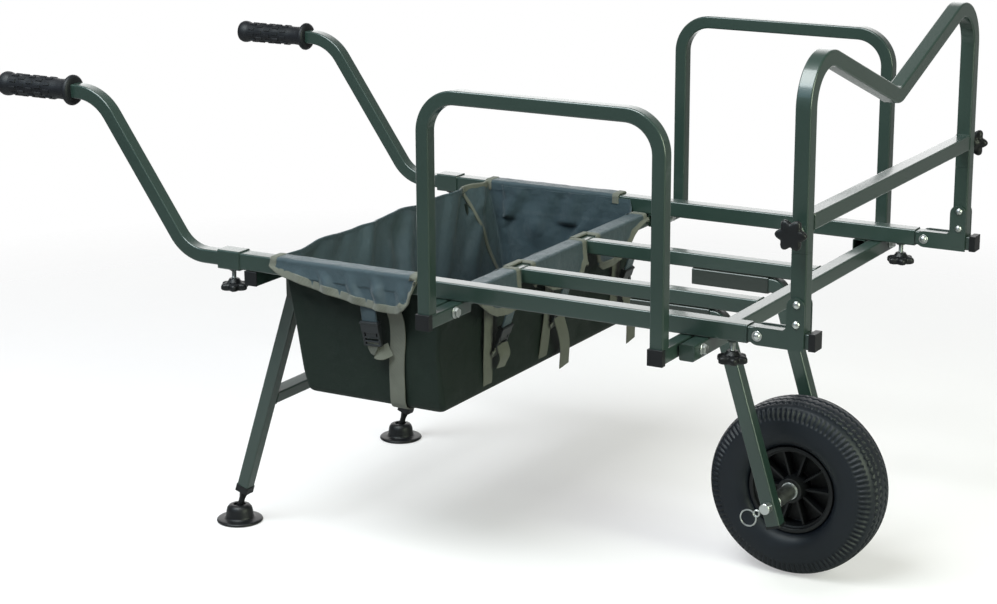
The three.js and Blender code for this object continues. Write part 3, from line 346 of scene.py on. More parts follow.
def finish_piece(form, name, body, material, stands_for=(), sharp=38.0, bevel=0.0):
    """Makes the object, shades it and ties it to its body."""
    mesh = bpy.data.meshes.new(name)
    mesh.from_pydata(form.vertices, [], form.faces)
    for entry in material if isinstance(material, list) else [material]:
        mesh.materials.append(entry)
    if any(form.paint):
        mesh.polygons.foreach_set("material_index", form.paint)
    if any(u or v for u, v in form.uv):
        layer = mesh.uv_layers.new(name="cloth")
        corners = np.array([loop.vertex_index for loop in mesh.loops])
        layer.uv.foreach_set("vector", np.array(form.uv)[corners].ravel())
    mesh.shade_smooth()
    mesh.set_sharp_from_angle(angle=math.radians(sharp))
    piece = bpy.data.objects.new(name, mesh)
    scene.collection.objects.link(piece)
    if bevel:
        rounding = piece.modifiers.new("rounding", "BEVEL")
        rounding.width = bevel
        rounding.segments = 3
        rounding.limit_method = "ANGLE"
    weight = piece.modifiers.new("flat_faces", "WEIGHTED_NORMAL")
    weight.keep_sharp = not bevel
    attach(piece, body)
    if stands_for:
        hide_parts(*stands_for)
    return piece


def finish_tube(form, name, body, node):
    """A painted tube that stands for one node of the CAD."""
    return finish_piece(form, name, body, coat, [node])


def finish_cloth(form, name, material, stands_for=(), sharp=60.0):
    """Cloth and webbing, which all ride on the frame."""
    return finish_piece(form, name, "frame", material, stands_for, sharp)


print("collector ready")

# %% [markdown]
# A bent square tube keeps its section square to the path. The path is a list of corners, each with a bend
# radius, and arcs replace the corners. The section has rounded corners, which catch the light as a bright
# line.

# %% Bent square tube
BEND_STEP = math.radians(4.0)
CORNER_STEPS = 5
TUBE_CORNER = 0.0026


def bent_path(corners):
    """Points and directions along straight stretches joined by arcs. corners are (point, bend radius)."""
    path = []
    for index, (point, bend) in enumerate(corners):
        before = corners[index - 1][0] if index else None
        after = corners[index + 1][0] if index + 1 < len(corners) else None
        if before is None or after is None or not bend:
            direction = (after - point) if before is None else (point - before)
            path.append((point, direction.normalized()))
            continue
        incoming, outgoing = (point - before).normalized(), (after - point).normalized()
        turn = incoming.angle(outgoing)
        axis = incoming.cross(outgoing).normalized()
        start = point - incoming * bend * math.tan(turn / 2)
        centre = start + axis.cross(incoming) * bend
        steps = max(2, math.ceil(turn / BEND_STEP))
        for step in range(steps + 1):
            spin = Matrix.Rotation(turn * step / steps, 3, axis)
            path.append((centre + spin @ (start - centre), spin @ incoming))
    return path


def rounded_square(size, corner, steps=CORNER_STEPS):
    """Outline of a square with rounded corners, anticlockwise."""
    reach = size / 2 - corner
    outline = []
    for quarter in range(4):
        sign_x = 1 if quarter in (0, 3) else -1
        sign_y = 1 if quarter < 2 else -1
        for step in range(steps + 1):
            angle = (quarter + step / steps) * math.pi / 2
            x, y = corner * math.cos(angle), corner * math.sin(angle)
            outline.append((sign_x * reach + x, sign_y * reach + y))
    return outline


def swept_rings(path, side, outline):
    rings = []
    for point, direction in path:
        across = side.cross(direction).normalized()
        rings.append([point + across * x + side * y for x, y in outline])
    return rings


def add_tube(form, path, side, size, wall, corner=TUBE_CORNER):
    """A square tube with open ends, or a closed bar where wall is 0."""
    outer = swept_rings(path, side, rounded_square(size, corner))
    count = len(outer[0])
    flat = [point for ring in outer for point in ring]
    if not wall:
        caps = [list(range(count))[::-1], [len(flat) - count + k for k in range(count)]]
        return form.add(flat, grid_faces(len(path), count) + caps)
    inner = swept_rings(path, side, rounded_square(size - 2 * wall, max(corner - wall, wall / 2)))
    rings = outer + inner[::-1]
    return form.add([p for ring in rings for p in ring], grid_faces(len(rings), count, closed_rows=True))


def add_straight(form, start, end, side, size, wall=0.0, corner=TUBE_CORNER):
    return add_tube(form, bent_path([(start, 0), (end, 0)]), side, size, wall, corner)


print("tube maker ready")

# %% [markdown]
# Turned forms: knobs' hubs, bolts, feet, spacers. A profile is a list of (distance along the axis, radius).
# Where the radius is zero the ring shrinks to one pole vertex, which closes the form.

# %% Turned forms
def along_axis(axis):
    """Rotation that takes +Z to the axis."""
    return Z_AXIS.rotation_difference(axis)


def scaled(shares, length, radius, start=0.0):
    """A profile from shares of a length and of a radius."""
    return [(start + length * along, radius * reach) for along, reach in shares]


def add_turned(form, profile, origin, axis, sides, swell=None, closed=False):
    """swell(angle, index) may scale the radius, as for a lobed knob."""
    spin = along_axis(axis)
    vertices, rows = [], []
    for index, (along, radius) in enumerate(profile):
        if radius <= 0:
            rows.append([len(vertices)] * sides)
            vertices.append(origin + spin @ Vector((0, 0, along)))
            continue
        row = []
        for step in range(sides):
            angle = 2 * math.pi * step / sides
            reach = radius * (swell(angle, index) if swell else 1)
            row.append(len(vertices))
            vertices.append(origin + spin @ Vector((reach * math.cos(angle), reach * math.sin(angle), along)))
        rows.append(row)
    faces = []
    pairs = list(zip(rows, rows[1:] + rows[:1] if closed else rows[1:]))
    for low, high in pairs:
        for k in range(sides):
            right = (k + 1) % sides
            corners = [low[k], low[right], high[right], high[k]]
            unique = list(dict.fromkeys(corners))
            if len(unique) > 2:
                faces.append(unique)
    return form.add(vertices, faces)


def add_rod(form, start, end, radius, sides=20, edge=0.0):
    """A closed rod whose end edges are broken by a small chamfer."""
    length = (end - start).length
    profile = [(0, 0), (0, radius - edge), (edge, radius)]
    profile += [(length - edge, radius), (length, radius - edge), (length, 0)]
    return add_turned(form, profile, start, (end - start).normalized(), sides)


def add_wire(form, points, radius, sides=8, closed=False):
    """A round wire along points."""
    count = len(points)
    rings = []
    normal = None
    for index, point in enumerate(points):
        before = points[index - 1] if index or closed else point
        after = points[(index + 1) % count] if index + 1 < count or closed else point
        direction = (after - before).normalized()
        if normal is None:
            normal = direction.orthogonal().normalized()
        normal = (normal - direction * normal.dot(direction)).normalized()
        across = direction.cross(normal)
        for step in range(sides):
            angle = 2 * math.pi * step / sides
            rings.append(point + (normal * math.cos(angle) + across * math.sin(angle)) * radius)
    faces = grid_faces(count, sides, closed_rows=closed)
    if not closed:
        faces += [list(range(sides))[::-1], [len(rings) - sides + k for k in range(sides)]]
    return form.add(rings, faces)


print("turned forms ready")

# %% [markdown]
# A weld bead is a low ripple where two tubes meet. It is one of the small things that tell
# welded steel from a drawing, and a thin wire along the joint's outline makes it.

# %% Weld beads
WELD_RADIUS = 0.0011


def add_weld(form, centre, normal, side, size):
    """A bead round a square tube's foot."""
    across = normal.cross(side).normalized()
    outline = rounded_square(size, TUBE_CORNER, 3)
    return add_wire(form, [centre + across * x + side * y for x, y in outline], WELD_RADIUS, 6, closed=True)


print("weld beads ready")

# %% [markdown]
# The bed: two rails with clamp collars at the back, and under them a ladder of thinner tubes.

# %% Bed
RAIL_SIZE = 0.025
RAIL_WALL = 0.0015
RAIL_LENGTH = 0.835
RAIL_Y = 0.31
RAIL_MID = 0.4445
COLLAR_SIZE = 0.029
COLLAR_LENGTH = 0.038
COLLAR_OVERHANG = 0.014
LADDER_SIZE = 0.022
LADDER_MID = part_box("front_cross_member")[0].z + LADDER_SIZE / 2
FRONT_MEMBER_X = -0.065
MEMBER_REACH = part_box("front_cross_member")[1].y
BOSS_RADIUS = 0.0075
BOSS_HEIGHT = 0.0032
BOSS_EDGE = 0.0006
ARM_KNOB_X = -0.025
INNER_BAR_Y = 0.103


def middle_of(node):
    low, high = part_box(node)
    return (low + high) / 2


def ends_across(x, reach, z):
    """Both ends of a tube that lies across the barrow."""
    return [spot(x, -reach, z), spot(x, reach, z)]


def ends_along(rear, front, y, z):
    """Both ends of a tube that lies along the barrow."""
    return [spot(rear, y, z), spot(front, y, z)]


def make_rail(side_name, sign):
    y = sign * RAIL_Y
    form = Form()
    add_straight(form, *ends_along(-RAIL_LENGTH, 0, y, RAIL_MID), Y_AXIS, RAIL_SIZE, RAIL_WALL)
    collar_start = -RAIL_LENGTH - COLLAR_OVERHANG
    collar_end = collar_start + COLLAR_LENGTH
    collar_wall = (COLLAR_SIZE - RAIL_SIZE) / 2 + RAIL_WALL
    ends = ends_along(collar_start, collar_end, y, RAIL_MID)
    add_straight(form, *ends, Y_AXIS, COLLAR_SIZE, collar_wall)
    add_weld(form, ends[1], X_AXIS, Y_AXIS, RAIL_SIZE + WELD_RADIUS)
    knob_x = (collar_start + collar_end) / 2
    for x, half in ((knob_x, COLLAR_SIZE / 2), (ARM_KNOB_X, RAIL_SIZE / 2)):
        face = spot(x, y, RAIL_MID - half)
        add_rod(form, face + Z_AXIS * RAIL_WALL, face - Z_AXIS * BOSS_HEIGHT, BOSS_RADIUS, 6, BOSS_EDGE)
    finish_tube(form, side_name + "_rail_tube", "frame", side_name + "_rail")


def make_member(node, x, name):
    form = Form()
    add_straight(form, *ends_across(x, MEMBER_REACH, LADDER_MID), X_AXIS, LADDER_SIZE)
    finish_tube(form, name, "frame", node)


def make_bed():
    for side_name, sign in SIDES:
        make_rail(side_name, sign)
        low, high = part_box(side_name + "_inner_bar")
        y = sign * INNER_BAR_Y
        start, end = Vector((low.x, y, LADDER_MID)), Vector((high.x, y, LADDER_MID))
        form = Form()
        add_straight(form, start, end, Y_AXIS, LADDER_SIZE, RAIL_WALL)
        add_weld(form, start, X_AXIS, Y_AXIS, LADDER_SIZE)
        add_weld(form, end, X_AXIS, Y_AXIS, LADDER_SIZE)
        finish_tube(form, side_name + "_inner_bar_tube", "frame", side_name + "_inner_bar")
    middle_x = middle_of("middle_cross_member").x - FRONT_END
    make_member("front_cross_member", FRONT_MEMBER_X, "front_member_tube")
    make_member("middle_cross_member", middle_x, "middle_member_tube")


make_bed()
print("bed made")

# %% [markdown]
# The rear member carries the legs between pairs of welded ears, and black plugs close its ends.

# %% Rear member
REAR_MEMBER_X = -0.792
LEG_Y = 0.235
LEG_SIZE = 0.020
EAR_THICKNESS = 0.003
EAR_GAP = 0.0003
EAR_REACH = 0.036
EAR_BOTTOM = 0.3767
EAR_EDGE = 0.0007


def box_corners(low, high):
    return [Vector((x, y, z)) for z in (low.z, high.z) for y in (low.y, high.y) for x in (low.x, high.x)]


BOX_FACES = [[0, 2, 3, 1], [4, 5, 7, 6], [0, 1, 5, 4], [1, 3, 7, 5], [3, 2, 6, 7], [2, 0, 4, 6]]


def add_box(form, low, high):
    return form.add(box_corners(low, high), BOX_FACES)


def make_rear_member():
    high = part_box("rear_cross_member")[1]
    form = Form()
    add_straight(form, *ends_across(REAR_MEMBER_X, high.y, LADDER_MID), X_AXIS, LADDER_SIZE, RAIL_WALL)
    finish_tube(form, "rear_member_tube", "frame", "rear_cross_member")
    ears = Form()
    front = REAR_MEMBER_X + LADDER_SIZE / 2
    for _, sign in SIDES:
        for cheek in (-1, 1):
            inner = sign * LEG_Y + cheek * (LEG_SIZE / 2 + EAR_GAP)
            outer = inner + cheek * EAR_THICKNESS
            corner = spot(front, min(inner, outer), EAR_BOTTOM)
            add_box(ears, corner, spot(front + EAR_REACH, max(inner, outer), high.z))
    # The ears take the darker copy of the coat, as painted shade.
    finish_piece(ears, "leg_ears", "frame", shaded_coat, bevel=EAR_EDGE)


make_rear_member()
print("rear member made")

# %% [markdown]
# Side loops: an inverted U on two arms. Each arm lies under the rail beside a cross member, and a bolt
# holds it.

# %% Side loops
LOOP_TUBE = 0.020
LOOP_WALL = 0.0012
LOOP_BEND = 0.050
LOOP_TOP = 0.745
LOOP_INSET = 0.0001   # keeps the legs' faces off the arms' faces
LOOP_ARM_START = 0.2975


def make_loop(side_name, sign):
    low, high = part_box(side_name + "_side_loop")
    y = sign * (max(abs(low.y), abs(high.y)) - LOOP_TUBE / 2)
    foot = low.z + LOOP_TUBE / 2
    top = LOOP_TOP - LOOP_TUBE / 2
    rear, front = low.x + LOOP_TUBE / 2, high.x - LOOP_TUBE / 2
    seat = foot + LOOP_TUBE / 2 - LOOP_WALL
    corners = [(Vector((rear, y, seat)), 0), (Vector((rear, y, top)), LOOP_BEND)]
    corners += [(Vector((front, y, top)), LOOP_BEND), (Vector((front, y, seat)), 0)]
    form = Form()
    add_tube(form, bent_path(corners), Y_AXIS, LOOP_TUBE - 2 * LOOP_INSET, LOOP_WALL)
    reach = y + sign * LOOP_TUBE / 2
    for x in (rear, front):
        start, end = Vector((x, sign * LOOP_ARM_START, foot)), Vector((x, reach, foot))
        add_straight(form, start, end, X_AXIS, LOOP_TUBE, LOOP_WALL)
        add_weld(form, Vector((x, y, foot + LOOP_TUBE / 2)), Z_AXIS, Y_AXIS, LOOP_TUBE)
    finish_tube(form, side_name + "_loop_tube", "frame", side_name + "_side_loop")


for side_name, sign in SIDES:
    make_loop(side_name, sign)
print("loops made")

# %% [markdown]
# End caps are small mouldings with rounded edges. Their CAD boxes give place and size, so one function dresses
# them all. Where the plate stands out round the tube, a thin skirt runs back along the tube too, so the cap
# reads as the short black sleeve of the photograph.

# %% End caps
CAP_THICKNESS = 0.003
CAP_SKIRT = 0.0065
CAP_LIP = 0.0011
SKIRT_FIT = 0.00012
SLEEVE_EDGE = 0.0004
PLATE_EDGE = 0.0012


def cap_ring(low, high, axis, place, shrink):
    """Four corners of a square across the axis, in turn."""
    first, second = (axis + 1) % 3, (axis + 2) % 3
    ring = []
    for a, b in ((low, low), (high, low), (high, high), (low, high)):
        corner = Vector((0, 0, 0))
        corner[axis] = place
        corner[first] = a[first] + (shrink if a is low else -shrink)
        corner[second] = b[second] + (shrink if b is low else -shrink)
        ring.append(corner)
    return ring


def make_cap(node, body, axis, outward, lip):
    """axis is the tube's direction as an index, outward is the sign of the open side."""
    low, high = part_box(node)
    end = high[axis] if outward > 0 else low[axis]
    face = end - outward * CAP_THICKNESS
    if lip:
        mouth = face - outward * CAP_SKIRT
        places = [(end, 0.0), (mouth, 0.0), (mouth, lip - SKIRT_FIT), (face, lip - SKIRT_FIT)]
    else:
        places = [(end, 0.0), (face, 0.0)]
    rings = [corner for place, shrink in places for corner in cap_ring(low, high, axis, place, shrink)]
    last = len(rings) - 4
    faces = grid_faces(len(places), 4) + [[3, 2, 1, 0], [last, last + 1, last + 2, last + 3]]
    if outward > 0:
        faces = [face[::-1] for face in faces]
    form = Form().add(rings, faces)
    edge = SLEEVE_EDGE if lip else PLATE_EDGE
    finish_piece(form, node + "_moulding", body, black_plastic, [node], bevel=edge)


for side_name, sign in SIDES:
    for node, lip in (("_loop_rear_cap", CAP_LIP), ("_loop_front_cap", CAP_LIP), ("_rear_member_cap", 0.0)):
        make_cap(side_name + node, "frame", 1, sign, lip)
    make_cap(side_name + "_front_arm_cap", "front_carriage", 0, 1, CAP_LIP)
print("caps made")

# %% [markdown]
# Hexagon bolts: a chamfered head on a flat washer, and a bare nut. The chamfer cuts the corners of the hexagon
# in a circle, which a turned profile with a six-sided swell gives. Domed heads serve the folding brackets.

# %% Bolts
BOLT_RADIUS = 0.004
HEAD_RADIUS = 0.0068
HEAD_HEIGHT = 0.005
WASHER_RADIUS = 0.0084
WASHER_THICKNESS = 0.0014
WASHER_EDGE = 0.0003
BOLT_EDGE = 0.0004
NUT_TAIL_SHARE = 1.5
HEX_SHARES = [(0, 0), (0, 1), (0.82, 1), (1, 0.86), (1, 0)]
DOME_RADIUS = 0.0052
DOME_HEIGHT = 0.0034
DOME_STEPS = 6


def hexagon(angle, _index):
    """Radius of a hexagon whose corners reach 1."""
    part = (angle % (math.pi / 3)) - math.pi / 6
    return math.cos(math.pi / 6) / math.cos(part)


def add_hex_head(form, seat, outward, washer=True):
    """A washer and a head on a seat, standing outward."""
    base = seat
    if washer:
        base = seat + outward * WASHER_THICKNESS
        add_rod(form, seat, base, WASHER_RADIUS, 24, WASHER_EDGE)
    add_turned(form, scaled(HEX_SHARES, HEAD_HEIGHT, HEAD_RADIUS), base, outward, 36, hexagon)


def add_dome_head(form, seat, outward):
    """A rounded rivet head."""
    profile = [(0, 0)]
    for step in range(DOME_STEPS):
        angle = step / DOME_STEPS * math.pi / 2
        profile.append((DOME_HEIGHT * math.sin(angle), DOME_RADIUS * math.cos(angle)))
    profile.append((DOME_HEIGHT, 0))
    add_turned(form, profile, seat, outward, 20)


def make_loop_bolts():
    for side_name, _ in SIDES:
        for place in ("rear", "front"):
            node = f"{side_name}_loop_{place}_bolt"
            low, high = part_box(node)
            middle = (low + high) / 2
            nut_seat = Vector((low.x + 2 * WASHER_THICKNESS + HEAD_HEIGHT, middle.y, middle.z))
            head_seat = Vector((high.x - WASHER_THICKNESS - HEAD_HEIGHT, middle.y, middle.z))
            tail = nut_seat - X_AXIS * HEAD_HEIGHT * NUT_TAIL_SHARE
            form = Form()
            add_rod(form, tail, head_seat, BOLT_RADIUS, 16, BOLT_EDGE)
            add_hex_head(form, head_seat, X_AXIS)
            add_hex_head(form, nut_seat, -X_AXIS, washer=False)
            finish_piece(form, node + "_zinc", "frame", zinc, [node])


make_loop_bolts()
print("bolts made")

# %% [markdown]
# Handles: an S-bent tube, and a moulded grip with a bulb, a hand stop and rows of raised dashes.

# %% Handle tubes
SLIDE_SIZE = 0.0214
SLIDE_WALL = 0.0013
HANDLE_STOWED = 0.23
HANDLE_RUN = 0.043
HANDLE_RISE = 0.227
HANDLE_LEAN = math.radians(34.8)
LOW_BEND = 0.062
HIGH_BEND = 0.072
GRIP_RUN = 0.188


def handle_corners(y):
    slope = math.tan(HANDLE_LEAN) * HANDLE_RISE
    rail_end = -RAIL_LENGTH
    grip_mid = RAIL_MID + HANDLE_RISE
    low_corner = rail_end - HANDLE_RUN - LOW_BEND * math.tan((math.pi / 2 - HANDLE_LEAN) / 2)
    high_corner = low_corner - slope
    tube_end = high_corner - GRIP_RUN
    corners = [(spot(tube_end, y, grip_mid), 0), (spot(high_corner, y, grip_mid), HIGH_BEND)]
    corners += [(spot(low_corner, y, RAIL_MID), LOW_BEND), (spot(rail_end + HANDLE_STOWED, y, RAIL_MID), 0)]
    return corners


def make_handle(side_name, sign):
    form = Form()
    add_tube(form, bent_path(handle_corners(sign * RAIL_Y)), Y_AXIS, SLIDE_SIZE, SLIDE_WALL)
    finish_tube(form, side_name + "_handle_tube", side_name + "_handle_body", side_name + "_handle")


for side_name, sign in SIDES:
    make_handle(side_name, sign)
print("handles made")

# %% [markdown]
# The grip's body is turned, and Geometry Nodes set the dashes round it: points on rings along the grip,
# a small rounded dash on each point. The tree has named inputs for the sizes, and each grip builds its own
# tree of that layout.

# %% Grip shape
GRIP_RADIUS = 0.016
GRIP_BULB = 0.0187
GRIP_FLANGE = 0.0232
GRIP_SHORT = 0.005    # the moulding ends before the CAD's plain cylinder
BULB_LENGTH = 0.019
FLANGE_LENGTH = 0.0095
BULB_SHARES = [(0, 0), (0, 0.5), (0.05, 0.72), (0.16, 0.9), (0.36, 0.985), (0.52, 1), (0.72, 0.98)]
BULB_SHARES += [(0.9, 0.93)]
WAIST_SHARES = [(1, 1.02), (1.1, 1)]
STOP_SHARES = [(-0.6, 1), (-0.15, 1.08)]
FLANGE_SHARES = [(0, 0.84), (0.12, 0.95), (0.32, 1), (0.6, 1), (0.84, 0.95), (0.97, 0.84), (1, 0.7), (1, 0)]
FINGER_WAVES = 4
FINGER_DEPTH_SHARE = 0.045
GRIP_STEPS = 25
DASH_ROWS = 9
DASH_RINGS = 5
DASH_WIDTH = 0.0066
DASH_HEIGHT = 0.0011
DASH_START = 0.030
DASH_END = 0.028
DASH_LENGTH_SHARE = 0.78
DASH_TOP_SHARES = (0.6, 0.84)


def grip_profile(length):
    """Distance and radius from the closed end to the hand stop's front face."""
    stop = length - FLANGE_LENGTH
    profile = scaled(BULB_SHARES, BULB_LENGTH, GRIP_BULB) + scaled(WAIST_SHARES, BULB_LENGTH, GRIP_RADIUS)
    start = profile[-1][0]
    end = scaled(STOP_SHARES, FLANGE_LENGTH, GRIP_RADIUS, stop)
    for step in range(1, GRIP_STEPS):
        share = step / GRIP_STEPS
        swell = 1 - FINGER_DEPTH_SHARE * (0.5 - 0.5 * math.cos(2 * math.pi * FINGER_WAVES * share))
        profile.append((start + (end[0][0] - start) * share, GRIP_RADIUS * swell))
    return profile + end + scaled(FLANGE_SHARES, FLANGE_LENGTH, GRIP_FLANGE, stop)


def baked_copy(source, name):
    """The evaluated result of live Geometry Nodes as a plain mesh object."""
    graph = bpy.context.evaluated_depsgraph_get()
    mesh = bpy.data.meshes.new_from_object(source.evaluated_get(graph))
    mesh.name = name
    piece = bpy.data.objects.new(name, mesh)
    scene.collection.objects.link(piece)
    bpy.data.objects.remove(source)
    return piece


class Tree:
    """A Geometry Nodes tree with named inputs."""

    def __init__(self, name, sizes):
        self.group = bpy.data.node_groups.new(name, "GeometryNodeTree")
        self.group.interface.new_socket("Geometry", in_out="OUTPUT", socket_type="NodeSocketGeometry")
        self.keys = {}
        for key, (kind, _value) in sizes.items():
            made = self.group.interface.new_socket(key, in_out="INPUT", socket_type=kind)
            self.keys[key] = made.identifier
        self.sizes = sizes
        self.entry = self.group.nodes.new("NodeGroupInput")
        self.exit = self.group.nodes.new("NodeGroupOutput")

    def size(self, key):
        return self.entry.outputs[key]

    def node(self, kind, settings=None, inputs=None):
        made = self.group.nodes.new(kind)
        for key, value in (settings or {}).items():
            setattr(made, key, value)
        for key, value in (inputs or {}).items():
            if hasattr(value, "is_linked"):
                self.group.links.new(value, made.inputs[key])
            else:
                made.inputs[key].default_value = value
        return made

    def run(self, name, geometry, material):
        """Ends the tree, runs it on an empty mesh and returns the plain result."""
        real = self.node("GeometryNodeRealizeInstances", {}, {0: geometry})
        painted = self.node("GeometryNodeSetMaterial", {}, {0: real.outputs[0], "Material": material})
        self.group.links.new(painted.outputs[0], self.exit.inputs[0])
        carrier = bpy.data.objects.new(name + "_carrier", bpy.data.meshes.new(name + "_carrier"))
        scene.collection.objects.link(carrier)
        modifier = carrier.modifiers.new("tree", "NODES")
        modifier.node_group = self.group
        for key, (_kind, value) in self.sizes.items():
            modifier[self.keys[key]] = value
        return baked_copy(carrier, name)


def ring_of(tree, count, radius, piece, turn):
    """Instances of one piece on a circle about Z, each turned to face outwards."""
    circle = tree.node("GeometryNodeMeshCircle", {}, {"Vertices": count, "Radius": radius})
    index = tree.node("GeometryNodeInputIndex")
    share = tree.node("ShaderNodeMath", {"operation": "DIVIDE"}, {0: index.outputs[0], 1: count})
    angle = tree.node("ShaderNodeMath", {"operation": "MULTIPLY"}, {0: share.outputs[0], 1: turn})
    spin = tree.node("ShaderNodeCombineXYZ", {}, {"Z": angle.outputs[0]})
    values = {"Points": circle.outputs[0], "Instance": piece, "Rotation": spin.outputs[0]}
    return tree.node("GeometryNodeInstanceOnPoints", {}, values).outputs[0]


def dash_mesh(name, length, width, height):
    """One raised dash, lying along Z, standing out along X."""
    form = Form()
    low = Vector((-height * 2, -width / 2, -length / 2))
    add_box(form, low, Vector((height, width / 2, length / 2)))
    mesh = bpy.data.meshes.new(name)
    mesh.from_pydata(form.vertices, [], form.faces)
    for vertex in mesh.vertices:
        if vertex.co.x > 0:
            vertex.co.y *= DASH_TOP_SHARES[0]
            vertex.co.z *= DASH_TOP_SHARES[1]
    piece = bpy.data.objects.new(name, mesh)
    scene.collection.objects.link(piece)
    return piece


def grip_dashes(name, length, radius):
    """Rows of dashes about Z, from 0 to length, every other ring turned by half a step."""
    sizes = {"Rows": ("NodeSocketInt", DASH_ROWS), "Rings": ("NodeSocketInt", DASH_RINGS)}
    sizes["Radius"] = ("NodeSocketFloat", radius)
    sizes["Step"] = ("NodeSocketFloat", length / DASH_RINGS)
    tree = Tree(name + "_tree", sizes)
    dash = dash_mesh(name + "_dash", length / DASH_RINGS * DASH_LENGTH_SHARE, DASH_WIDTH, DASH_HEIGHT)
    info = tree.node("GeometryNodeObjectInfo", {}, {"Object": dash})
    ring = ring_of(tree, tree.size("Rows"), tree.size("Radius"), info.outputs["Geometry"], 2 * math.pi)
    offset = tree.node("ShaderNodeCombineXYZ", {}, {"Z": tree.size("Step")})
    line = tree.node("GeometryNodeMeshLine", {}, {"Count": tree.size("Rings"), "Offset": offset.outputs[0]})
    index = tree.node("GeometryNodeInputIndex")
    half_step = math.pi / DASH_ROWS
    twist = tree.node("ShaderNodeMath", {"operation": "MULTIPLY"}, {0: index.outputs[0], 1: half_step})
    spin = tree.node("ShaderNodeCombineXYZ", {}, {"Z": twist.outputs[0]})
    values = {"Points": line.outputs[0], "Instance": ring, "Rotation": spin.outputs[0]}
    stacked = tree.node("GeometryNodeInstanceOnPoints", {}, values)
    made = tree.run(name, stacked.outputs[0], grip_rubber)
    bpy.data.objects.remove(dash)
    return made


def place_mesh(piece, origin, axis):
    """Moves a piece that was made about Z so that it lies along the axis."""
    piece.data.transform(Matrix.Translation(origin) @ along_axis(axis).to_matrix().to_4x4())


print("grip tools ready")

# %% [markdown]
# Each grip starts from its CAD box. The dashes begin behind the bulb and end before the hand stop.

# %% Grips
def make_grip(side_name):
    node = side_name + "_grip"
    low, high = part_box(node)
    middle = (low + high) / 2
    length = high.x - low.x - GRIP_SHORT
    end = Vector((low.x + GRIP_SHORT, middle.y, middle.z))
    form = Form()
    add_turned(form, grip_profile(length), end, X_AXIS, 48)
    body = side_name + "_handle_body"
    finish_piece(form, node + "_body", body, grip_rubber, [node])
    dashes = grip_dashes(node + "_dashes", length - DASH_START - DASH_END, GRIP_RADIUS)
    place_mesh(dashes, end + X_AXIS * DASH_START, X_AXIS)
    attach(dashes, body)
    return len(dashes.data.polygons)


print("dash faces", [make_grip(side_name) for side_name, _ in SIDES])

# %% [markdown]
# Front arms slide in the rails. A folded pair of cheeks clasps each arm and the upright that stands on it,
# and domed zinc bolts cross them: the lowest bolt behind is the folding pivot.

# %% Front arms and uprights
ARM_SHOWN = 0.092
ARM_STOWED = 0.26
UPRIGHT_X = 0.069
UPRIGHT_SIZE = 0.022
UPRIGHT_TOP = 0.56
UPRIGHT_WALL = 0.0015
SPIGOT_SHOWN = 0.13
SPIGOT_SIZE = 0.019
CHEEK = 0.0025
CHEEK_GAP = 0.0003
CHEEK_WIDTH = 0.025
CHEEK_RISE = 0.045
CHEEK_FILLET = 0.006
CHEEK_EDGE = 0.0006
HEEL_INSET = 0.0001   # keeps the heel's arc off the straight foot
PIVOT_X = 0.015
PIVOT_WASHER = 0.001
PIVOT_WASHER_SHARE = 1.35
RAIL_TOP = RAIL_MID + RAIL_SIZE / 2
BRACKET_BOLT_HEIGHTS = (0.4665, 0.493)


def arc_points(centre_x, centre_z, radius, start, end, steps=10):
    points = []
    for step in range(steps + 1):
        angle = start + (end - start) * step / steps
        points.append((centre_x + radius * math.cos(angle), centre_z + radius * math.sin(angle)))
    return points


def cheek_outline():
    """L shape in x and z, anticlockwise seen from the near side."""
    half = CHEEK_WIDTH / 2
    front = UPRIGHT_X + UPRIGHT_SIZE / 2
    top = RAIL_TOP + CHEEK_RISE
    outline = [(PIVOT_X, RAIL_MID - half), (front, RAIL_MID - half)]
    outline += arc_points(front - half, top - half, half, 0, math.pi)
    corner_x, corner_z = front - CHEEK_WIDTH - CHEEK_FILLET, RAIL_TOP + CHEEK_FILLET
    outline += arc_points(corner_x, corner_z, CHEEK_FILLET, 0, -math.pi / 2, 5)
    outline += arc_points(PIVOT_X, RAIL_MID, half - HEEL_INSET, math.pi / 2, 1.5 * math.pi)
    return outline


def add_plate(form, outline, y_low, y_high):
    """A flat plate across y with an outline in x and z."""
    count = len(outline)
    near = [spot(x, y_low, z) for x, z in outline]
    far = [spot(x, y_high, z) for x, z in outline]
    faces = [list(range(count)), [count + k for k in range(count)][::-1]]
    for k in range(count):
        right = (k + 1) % count
        faces.append([k, count + k, count + right, right])
    return form.add(near + far, faces)


def make_front_side(side_name, sign):
    y = sign * RAIL_Y
    arm = Form()
    add_straight(arm, *ends_along(-ARM_STOWED, ARM_SHOWN, y, RAIL_MID), Y_AXIS, SLIDE_SIZE, SLIDE_WALL)
    finish_tube(arm, side_name + "_arm_tube", "front_carriage", side_name + "_front_arm")
    upright = Form()
    foot = spot(UPRIGHT_X, y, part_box(side_name + "_upright")[0].z)
    top, spigot_top = spot(UPRIGHT_X, y, UPRIGHT_TOP), spot(UPRIGHT_X, y, UPRIGHT_TOP + SPIGOT_SHOWN)
    add_straight(upright, foot, top, Y_AXIS, UPRIGHT_SIZE, UPRIGHT_WALL)
    add_straight(upright, foot, spigot_top, Y_AXIS, SPIGOT_SIZE, RAIL_WALL)
    finish_tube(upright, side_name + "_upright_tube", "front_uprights", side_name + "_upright")
    cheeks = Form()
    inner = UPRIGHT_SIZE / 2 + CHEEK_GAP
    add_plate(cheeks, cheek_outline(), y - inner - CHEEK, y - inner)
    add_plate(cheeks, cheek_outline(), y + inner, y + inner + CHEEK)
    node = side_name + "_fold_bracket"
    name = side_name + "_cheeks"
    finish_piece(cheeks, name, "front_uprights", coat, [node], bevel=CHEEK_EDGE)
    make_front_bolts(side_name, y, inner + CHEEK)


